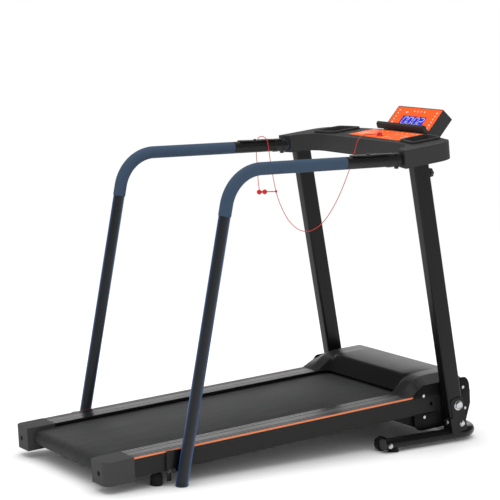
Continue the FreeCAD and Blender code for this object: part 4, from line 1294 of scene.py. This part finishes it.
@dataclass(frozen=True)
class Printer:
    """Lays thin printed plates on one plane of a tilted frame.

    Args:
        frame: the tilted frame, whose local Z is the plane's normal.
        level: height of the printed plane.
        thick: thickness of the print.
    """

    frame: Tilt
    level: float
    thick: float = 0.0002

    def shapes(self, mark: Mark, size: float) -> list[np.ndarray]:
        """Outlines of one symbol about its own centre.

        Args:
            mark: which symbol.
            size: half of its height.

        Returns:
            Closed outlines (n, 2), counterclockwise.
        """
        box = np.array([(-1.0, -1.0), (1.0, -1.0), (1.0, 1.0), (-1.0, 1.0)]) * size
        if mark is Mark.DISC:
            return [circle(size, 20)]
        if mark is Mark.BAR:
            return [box * np.array([0.45, 1.0])]
        if mark is Mark.DROP:
            return [np.array([(-1.0, -0.9), (1.0, 0.0), (-1.0, 0.9)]) * size]
        if mark is Mark.PAIR:
            return [box * np.array([0.30, 1.0]) + np.array([shift * size, 0]) for shift in (-0.6, 0.6)]
        if mark is Mark.SQUARE:
            return [box * 0.8]
        return [box * np.array([0.25, 1.0]), box * np.array([0.25, 0.34]) + np.array([0.62 * size, 0]),
                box * np.array([0.25, 0.34]) - np.array([0.62 * size, 0])]

    def plates(self, marks: list[tuple[float, float, Mark, float]]) -> list[Surface]:
        """Closed plates of many symbols: (along, across, symbol, size) each."""
        parts = []
        for along, across, mark, size in marks:
            for outline in self.shapes(mark, size):
                parts.append(self.one(outline + np.array([along, across])))
        return parts

    def one(self, outline: np.ndarray) -> Surface:
        """One closed plate over an outline of the plane."""
        rings = np.stack([np.insert(outline, 2, level, axis=1)
                          for level in (self.level - 0.00005, self.level + self.thick)])
        return tube(self.frame.place(rings))


# ------------------------------------------------------------------ console
@dataclass
class Console:
    """Console shells, trays, keypad and stop key.

    Args:
        rim: radius of the shell's top edge.
        panel_level: height of the keypad's face.
        key_centre: place of the stop key.
    """

    rim: float = 0.0088
    panel_level: float = 0.0005
    key_centre: Pair = (0.166, -0.022)

    def shell(self) -> None:
        """Top shell: only the outer top edge and the corners of the arms are rounded.

        An edge's weight is 1 on the outer outline at height 0 and 0.35 on the arms' upright corners.
        """
        piece = soften("console_top", self.rim, SHELL, 6)
        mesh = piece.data
        local = CONSOLE.local(read(mesh.vertices, "co", 3).astype(float))
        ends = read(mesh.edges, "vertices", 2, np.int32)
        x, y, z = local[:, 0], np.abs(local[:, 1]), local[:, 2]
        panel = (y < 0.1726) & (x > 0.1110) & (x < 0.2566)
        tray = (y > 0.1935) & (y < 0.2845) & (x > 0.1095) & (x < 0.2356)
        top = (np.abs(z) < 0.0003) & ~panel & ~tray
        arm = (x < 0.0205) & (z > -0.0575) & ((y > 0.3665) | (np.abs(y - 0.312) < 0.0005))
        weight = np.where(top[ends].all(axis=1), 1.0, np.where(arm[ends].all(axis=1), 0.35, 0.0))
        layer = mesh.attributes.new("bevel_weight_edge", "FLOAT", "EDGE")
        layer.data.foreach_set("value", weight.astype(np.float32))
        piece.modifiers["rounded_edges"].limit_method = "WEIGHT"

    def stop_key(self) -> None:
        """Stop key: a round base and an oval grip, both turned, the grip squeezed to 7 x 14 mm."""
        along, across = self.key_centre
        base = np.array([(0.0002, 0.0004), (0.0138, 0.0004), (0.0145, 0.0011), (0.0145, 0.0026),
                         (0.0138, 0.0034), (0.0002, 0.0036)])
        height = np.linspace(0, 1, 14)
        swell = (1 - height ** 5) ** 0.5 * (1 - 0.12 * np.sin(math.pi * height))
        grip = spread(np.maximum(swell, 0.02), 0.0030 + 0.0105 * height)
        rings = turned(grip, 40) * np.array([0.0070, 0.0140, 1.0])
        centre = np.array([along, across, 0.0])
        parts = [tube(CONSOLE.place(turned(base, 40) + centre)), tube(CONSOLE.place(rings + centre))]
        made("stop_key", parts, RED, "safety_key", ["safety_key"])

    def keypad(self) -> None:
        """Keypad: a dark bed over the whole recess and an orange film on it that narrows to the left."""
        bed = eased([(0.1123, -0.1717), (0.2557, -0.1717), (0.2557, 0.1717), (0.1123, 0.1717)], 0.002, 3)
        film = eased([(0.130, -0.1712), (0.2552, -0.1712), (0.2552, 0.128), (0.141, 0.128)], 0.004)
        for name, outline, low, high, finish in (("keypad_bed", bed, -0.0011, 0.0001, SHELL),
                                                 ("keypad_film", film, 0.00005, 0.0005, ORANGE)):
            made(name, [tube(CONSOLE.place(plate(outline, low, high, 0.0002)))], finish, "stand",
                 ["keypad_panel"])

    def trays(self) -> None:
        """Trays: a bowl through the shell with a thick raised rim round it.

        Each step of the section is (inset from the bowl's outline, height).
        """
        section = ((0.0006, -0.0138), (0.0006, 0.0002), (-0.0075, 0.0002), (-0.0080, 0.0010),
                   (-0.0078, 0.0055), (-0.0066, 0.0072), (-0.0050, 0.0078), (0.0008, 0.0080),
                   (0.0020, 0.0076), (0.0027, 0.0066), (0.0034, -0.0080), (0.0046, -0.0108),
                   (0.0075, -0.0120))
        parts = []
        for _, side in SIDES:
            corners = [(0.110, 0.284), (0.216, 0.284), (0.235, 0.194), (0.129, 0.194)]
            outline = eased([(x, side * y) for x, y in corners], 0.012)
            rings = np.stack([np.insert(offset(outline, inset), 2, level, axis=1)
                              for inset, level in section])
            parts.append(tube(CONSOLE.place(rings)))
        made("tray_bowls", parts, SHELL, "stand", ["console_trays"], 40)

    def prints(self) -> None:
        """Marks on the keypad, beside its keys and in a row along its far edge."""
        marks = [(0.146, -0.070, Mark.DROP, 0.0030), (0.146, -0.106, Mark.SQUARE, 0.0030),
                 (0.214, -0.070, Mark.CROSS, 0.0034), (0.214, -0.106, Mark.BAR, 0.0034)]
        kinds = (Mark.BAR, Mark.PAIR, Mark.DISC, Mark.SQUARE)
        marks += [(0.236, 0.110 - 0.028 * number, kinds[number % 4], 0.0032) for number in range(10)]
        marks += [(place, across, Mark.BAR, 0.0046) for place in (0.172, 0.190) for across in
                  (0.104, 0.093, 0.082, -0.134, -0.146)]
        marks += [(0.190, 0.048 + 0.012 * number, Mark.DISC, 0.0026) for number in range(3)]
        made("keypad_print", Printer(CONSOLE, self.panel_level).plates(marks), PRINT, "stand")

    def build(self) -> None:
        """Make the shells, keys and prints."""
        self.shell()
        self.stop_key()
        self.keypad()
        self.trays()
        self.prints()
        soften("console_underside", 0.0010, SHELL)
        for key, finish in (("start", KEY_ORANGE), ("stop", RED), ("faster", KEY_ORANGE),
                            ("slower", KEY_ORANGE)):
            soften(f"key_{key}", 0.0008, finish, 3)
        soften("key_socket", 0.0006, SHELL)


@dataclass
class Display:
    """Tilted display with its screen, printed marks and phone ledge.

    Args:
        screen_low: lower edge of the lit panel along the slope.
        digit: width, height and stroke of a digit.
        pitch: distance between digits.
        left: where the first digit starts, towards +Y.
        slant: how far a digit leans for its height.
        shown: the digits shown.
    """

    screen_low: float = 0.028
    digit: Triple = (0.0205, 0.0300, 0.0036)
    pitch: float = 0.0290
    left: float = 0.0600
    slant: float = 0.20
    shown: tuple[int, ...] = (0, 0, 0, 2)

    def segments(self, number: int) -> list[np.ndarray]:
        """Outlines of one digit's lit segments as pointed bars (right, up).

        Args:
            number: 0 or 2, the digits that the panel shows.

        Returns:
            Closed outlines (6, 2): start, two shoulders, end, two shoulders.
        """
        wide, tall, stroke = self.digit
        corner = {"bl": (0, 0), "br": (wide, 0), "ml": (0, tall / 2), "mr": (wide, tall / 2),
                  "tl": (0, tall), "tr": (wide, tall)}
        bars = {0: ("bl br", "bl ml", "ml tl", "tl tr", "tr mr", "mr br"),
                2: ("tl tr", "tr mr", "ml mr", "bl ml", "bl br")}[number]
        shapes = []
        for bar in bars:
            start, end = (np.array(corner[name], dtype=float) for name in bar.split())
            along = (end - start) / np.linalg.norm(end - start)
            side = np.array([-along[1], along[0]]) * stroke / 2
            start, end = start + along * 0.0004, end - along * 0.0004
            near, far = start + along * stroke / 2, end - along * stroke / 2
            shapes.append(np.array([start, near - side, far - side, end, far + side, near + side]))
        return shapes

    def ledge(self) -> None:
        """Phone ledge: a faceted bar whose section (x, z) tapers over the last 5 mm at each end."""
        section = eased([(0.2705, 0.0004), (0.2920, 0.0004), (0.2960, 0.0030), (0.2955, 0.0050),
                         (0.2880, 0.0052), (0.2820, 0.0225), (0.2730, 0.0262), (0.2660, 0.0195)], 0.0010, 4)
        middle = section.mean(axis=0)
        across = np.array([-0.1325, -0.1318, -0.1295, 0.1295, 0.1318, 0.1325])
        share = np.array([0.80, 0.92, 1.0, 1.0, 0.92, 0.80])[:, None, None]
        ring = middle + share * (section - middle)
        ring[..., 1] += 0.0004 - ring[..., 1].min(axis=1, keepdims=True)
        local = spread(ring[..., 0], across[:, None], ring[..., 1])
        made("ledge_bar", [tube(CONSOLE.place(local))], SHELL, "stand", ["phone_ledge"], 25)

    def digits(self) -> None:
        """Slanted digits on the lit panel, with two dots between the pairs."""
        printer = Printer(DISPLAY, -0.0026, 0.00025)
        low = self.screen_low + 0.0042
        parts = []
        for place, number in enumerate(self.shown):
            start = self.left - self.pitch * place - (0.004 if place > 1 else 0.0)
            for shape in self.segments(number):
                right = shape[:, 0] + self.slant * shape[:, 1]
                parts.append(printer.one(spread(low + shape[:, 1], start - right)))
        for rise in (0.008, 0.019):
            dot = circle(0.0018, 16) + np.array([low + rise, self.left - self.pitch * 2 + 0.004
                                                 - self.slant * rise])
            parts.append(printer.one(dot))
        made("screen_digits", parts, DIGIT, "stand")

    def prints(self) -> None:
        """Columns and rows of marks round the lit panel."""
        kinds = (Mark.PAIR, Mark.DISC, Mark.BAR, Mark.DROP, Mark.CROSS, Mark.SQUARE)
        marks = [(0.034 + 0.0135 * number, 0.1040, kinds[(number + 1) % 6], 0.0034) for number in range(5)]
        marks += [(0.022 + 0.0130 * number, -0.1040, kinds[number % 6], 0.0034) for number in range(6)]
        marks += [(0.088, 0.022 - 0.019 * number, kinds[(number + 2) % 6], 0.0032) for number in range(4)]
        marks += [(0.082, 0.062, Mark.DROP, 0.0036), (0.082, 0.055, Mark.BAR, 0.0030)]
        marks += [(0.018, 0.060 - 0.020 * number, Mark.BAR, 0.0022) for number in range(7)]
        made("fascia_print", Printer(DISPLAY, -0.0004).plates(marks), PRINT, "stand")

    def build(self) -> None:
        """Soften the housing, light the screen and print the marks."""
        soften("display_housing", 0.0015, SHELL, 3)
        soften("display_neck", 0.0020, SHELL)
        self.ledge()
        self.digits()
        self.prints()


# ------------------------------------------------------------------ running deck
@dataclass
class Deck:
    """Belt, rails, beams, caps and hood of the folding deck.

    Args:
        rollers: places of the front and the rear roller along the deck.
        level: height of their axes.
        belt_outer: radius of the belt's outer side round a roller.
        belt_inner: radius of its inner side.
        belt_half: half of the belt's width.
        belt_edge: size of its rounded edges.
    """

    rollers: Pair = (-0.072, -1.275)
    level: float = 0.008
    belt_outer: float = 0.02506
    belt_inner: float = 0.02306
    belt_half: float = 0.210
    belt_edge: float = 0.001

    def loop(self, radius: float, arc: int, straight: int) -> np.ndarray:
        """Race track round both rollers in the deck's own plane, (n, 2) of u and w."""
        front, rear = self.rollers
        over = np.linspace(rear, front, straight, endpoint=False)
        nose, tail = (spread(middle + radius * np.cos(turn), self.level + radius * np.sin(turn))
                      for middle, turn in ((front, np.linspace(0.5, -0.5, arc, endpoint=False) * math.pi),
                                           (rear, np.linspace(-0.5, -1.5, arc, endpoint=False) * math.pi)))
        back = over[::-1] + (front - rear) / straight
        return np.concatenate([spread(over, self.level + radius), nose,
                               spread(back, self.level - radius), tail])

    def belt(self) -> None:
        """Endless belt: outer and inner race tracks joined at rounded edges, with UV in metres."""
        outer, inner = (self.loop(radius, 24, 60) for radius in (self.belt_outer, self.belt_inner))
        middle = (outer + inner) / 2
        half, flat = self.belt_half, self.belt_half - self.belt_edge
        stack = [(outer, -flat), (outer, flat), (middle, half), (inner, flat), (inner, -flat),
                 (middle, -half)]
        rings = np.stack([np.insert(track, 1, place, axis=1) for track, place in stack])
        points, faces = tube(DECK.place(rings), closed_rows=True)
        piece = build("belt_loop", points, faces, 60)
        run = np.concatenate([[0], np.cumsum(np.linalg.norm(np.diff(outer, axis=0), axis=1))])
        layer = piece.data.uv_layers.new(name="run")
        row, column = divmod(read(piece.data.loops, "vertex_index", 1, np.int32)[:, 0], len(outer))
        across = np.array([place for _, place in stack])
        layer.data.foreach_set("uv", spread(run[column], across[row]).astype(np.float32).ravel())
        dress(piece, BELT, "deck", ["running_belt"])

    def hood(self) -> None:
        """Motor hood: sections across the deck that blend from the face to the cheeks.

        The share of the cheek curve is smoothstep((|y| - 195) / 26 mm). Outside |y| = 262 mm the top drops
        by 22 q mm, q = (|y| - 262) / 47 mm, eased over its first tenth. All above the rail scales with it.
        """
        half = np.concatenate([np.linspace(0, 0.195, 6)[:-1], np.linspace(0.195, 0.221, 11)[:-1],
                               np.linspace(0.221, 0.262, 6)[:-1],
                               0.262 + 0.047 * np.linspace(0, 1, 17) ** 2])
        across = np.concatenate([-half[:0:-1], half])
        far = np.abs(across)
        share = np.clip((far - 0.195) / 0.026, 0, 1)
        share = (share * share * (3 - 2 * share))[:, None, None]
        face = self.drawn([(-0.135, 0.0444), (-0.1045, 0.0915), (-0.101, 0.0955), (-0.096, 0.098)], 26)
        cheek = self.drawn([(-0.172, 0.0444), (-0.160, 0.0525), (-0.140, 0.0680), (-0.118, 0.0830),
                            (-0.100, 0.0905), (-0.083, 0.0955), (-0.060, 0.098)], 26)
        user = (1 - share) * face + share * cheek
        rest = np.array([(0.046, 0.098), (0.054, 0.0968), (0.060, 0.0925), (0.066, 0.083), (0.088, 0.034),
                         (0.095, 0.030), (0.095, -0.0215), (0.084, -0.0215), (0.084, 0.0444)])
        ring = np.concatenate([user, np.broadcast_to(rest, (len(across), *rest.shape))], axis=1)
        q = np.clip((far - 0.262) / 0.047, 0, 1)
        keep = 1 - 0.022 * (np.sqrt(q * q + 0.0025) - 0.05) / 0.0536
        u, w = ring[..., 0], ring[..., 1]
        w = np.where(w > 0.0444, 0.0444 + (w - 0.0444) * keep[:, None], w)
        surface = tube(DECK.place(spread(u, across[:, None], w)))
        made("hood_shell", [surface], HOOD, "deck", ["motor_hood"], 40)

    def drawn(self, corners: list[Pair], count: int) -> np.ndarray:
        """Evenly spaced points (count, 2) along a line of corners."""
        line = np.array(corners)
        run = np.concatenate([[0], np.cumsum(np.linalg.norm(np.diff(line, axis=0), axis=1))])
        steps = np.linspace(0, run[-1], count)
        return spread(*(np.interp(steps, run, axis) for axis in line.T))

    def side_plate(self, outline: np.ndarray, low: float, high: float, edge: float, side: float) -> Surface:
        """A plate that stands upright on one side: outline (u, w), from low to high in |y|."""
        u, w, y = np.moveaxis(plate(outline, low, high, edge), -1, 0)
        return tube(DECK.place(spread(u, side * y, w)))

    def covers(self) -> None:
        """Side covers round the front of each beam, whose top edge rises in an S.

        The S is w = 44 + 34 (3 t^2 - 2 t^3) mm along 46 mm of the deck.
        """
        t = np.linspace(0, 1, 15)
        rise = spread(-0.150 + 0.046 * t, 0.044 + 0.034 * (3 * t ** 2 - 2 * t ** 3))
        turn = np.linspace(0, math.pi / 2, 7)
        nose = spread(0.066 + 0.024 * np.sin(turn), 0.040 + 0.038 * np.cos(turn))
        low = np.array([(0.090, -0.022), (0.076, -0.062), (0.070, -0.077), (-0.118, -0.077), (-0.130, -0.074),
                        (-0.140, -0.067), (-0.146, -0.056), (-0.147, -0.044), (-0.147, -0.0220),
                        (-0.048, -0.0220), (-0.044, -0.0180), (-0.044, 0.0305), (-0.048, 0.0350),
                        (-0.151, 0.0350)])
        outline = np.concatenate([low, rise, nose])
        covers = [self.side_plate(outline, 0.3103, 0.3133, 0.0008, side) for _, side in SIDES]
        made("side_covers", covers, COVER, "deck", ["side_plates"])

    def accents(self) -> None:
        """Orange strips in the outer edge of the rails."""
        profile = np.array([(0.3080, 0.0384), (0.3104, 0.0384), (0.3106, 0.0390), (0.3106, 0.0428),
                            (0.3102, 0.0433), (0.3080, 0.0433)])
        y, w = profile.T
        ends = np.array([(-1.2178,), (-0.1492,)])
        parts = [tube(DECK.place(spread(ends, side * y, w))) for _, side in SIDES]
        made("accent_lines", parts, ACCENT, "deck", ["accent_strips"], 50)

    def rails(self) -> None:
        """Foot rails: bright bands outside, and the inner band, grooves and skirt dark; the dark gloss in the
        grooves is painted shade.
        """
        piece = soften("foot_rails", 0.0003, RAIL, 1)
        mesh = piece.data
        mesh.materials.append(GLOSS.make())
        mesh.materials.append(BEAM.make())
        _, across, height = DECK.local(read(mesh.polygons, "center", 3).astype(float)).T
        across = np.abs(across)
        # the inner band and the faces below the rail's top get the dark gloss; in the grooves it is painted
        # shade
        index = np.where((across < 0.2440) | (height < 0.0436), 1, 0)
        index = np.where((across > 0.3070) & (height < 0.0425), 2, index)
        mesh.polygons.foreach_set("material_index", index.astype(np.int32))
        piece.modifiers["rounded_edges"].material = -1

    def build(self) -> None:
        """Make every visible piece of the deck."""
        self.belt()
        self.hood()
        self.covers()
        self.accents()
        self.rails()
        soften("deck_frame", 0.0012, BEAM)
        soften("rear_caps", 0.0016, CAP, 3)
        soften("belly_pan", 0.0020, COVER)
        for side, _ in SIDES:
            soften(f"levelling_foot_{side}", 0.0008, SOFT)


def dress_nodes() -> None:
    """Give every CAD node its finish, so that the ones still showing are dressed too."""
    for finish, names in NODES_OF:
        for name in names.split():
            mesh = frame["nodes"][name].data
            mesh.materials.clear()
            mesh.materials.append(finish.make())


def main() -> None:
    """Build the studio, then each sub-assembly in order."""
    logging.basicConfig(level=logging.INFO, format="%(message)s")
    Studio().build()
    Lanyard().build()
    dress_nodes()
    for assembly in (Stand(), Handrails(), Console(), Display(), Deck()):
        LOG.info("assembly %s", type(assembly).__name__)
        assembly.build()


if __name__ == "__main__":
    main()
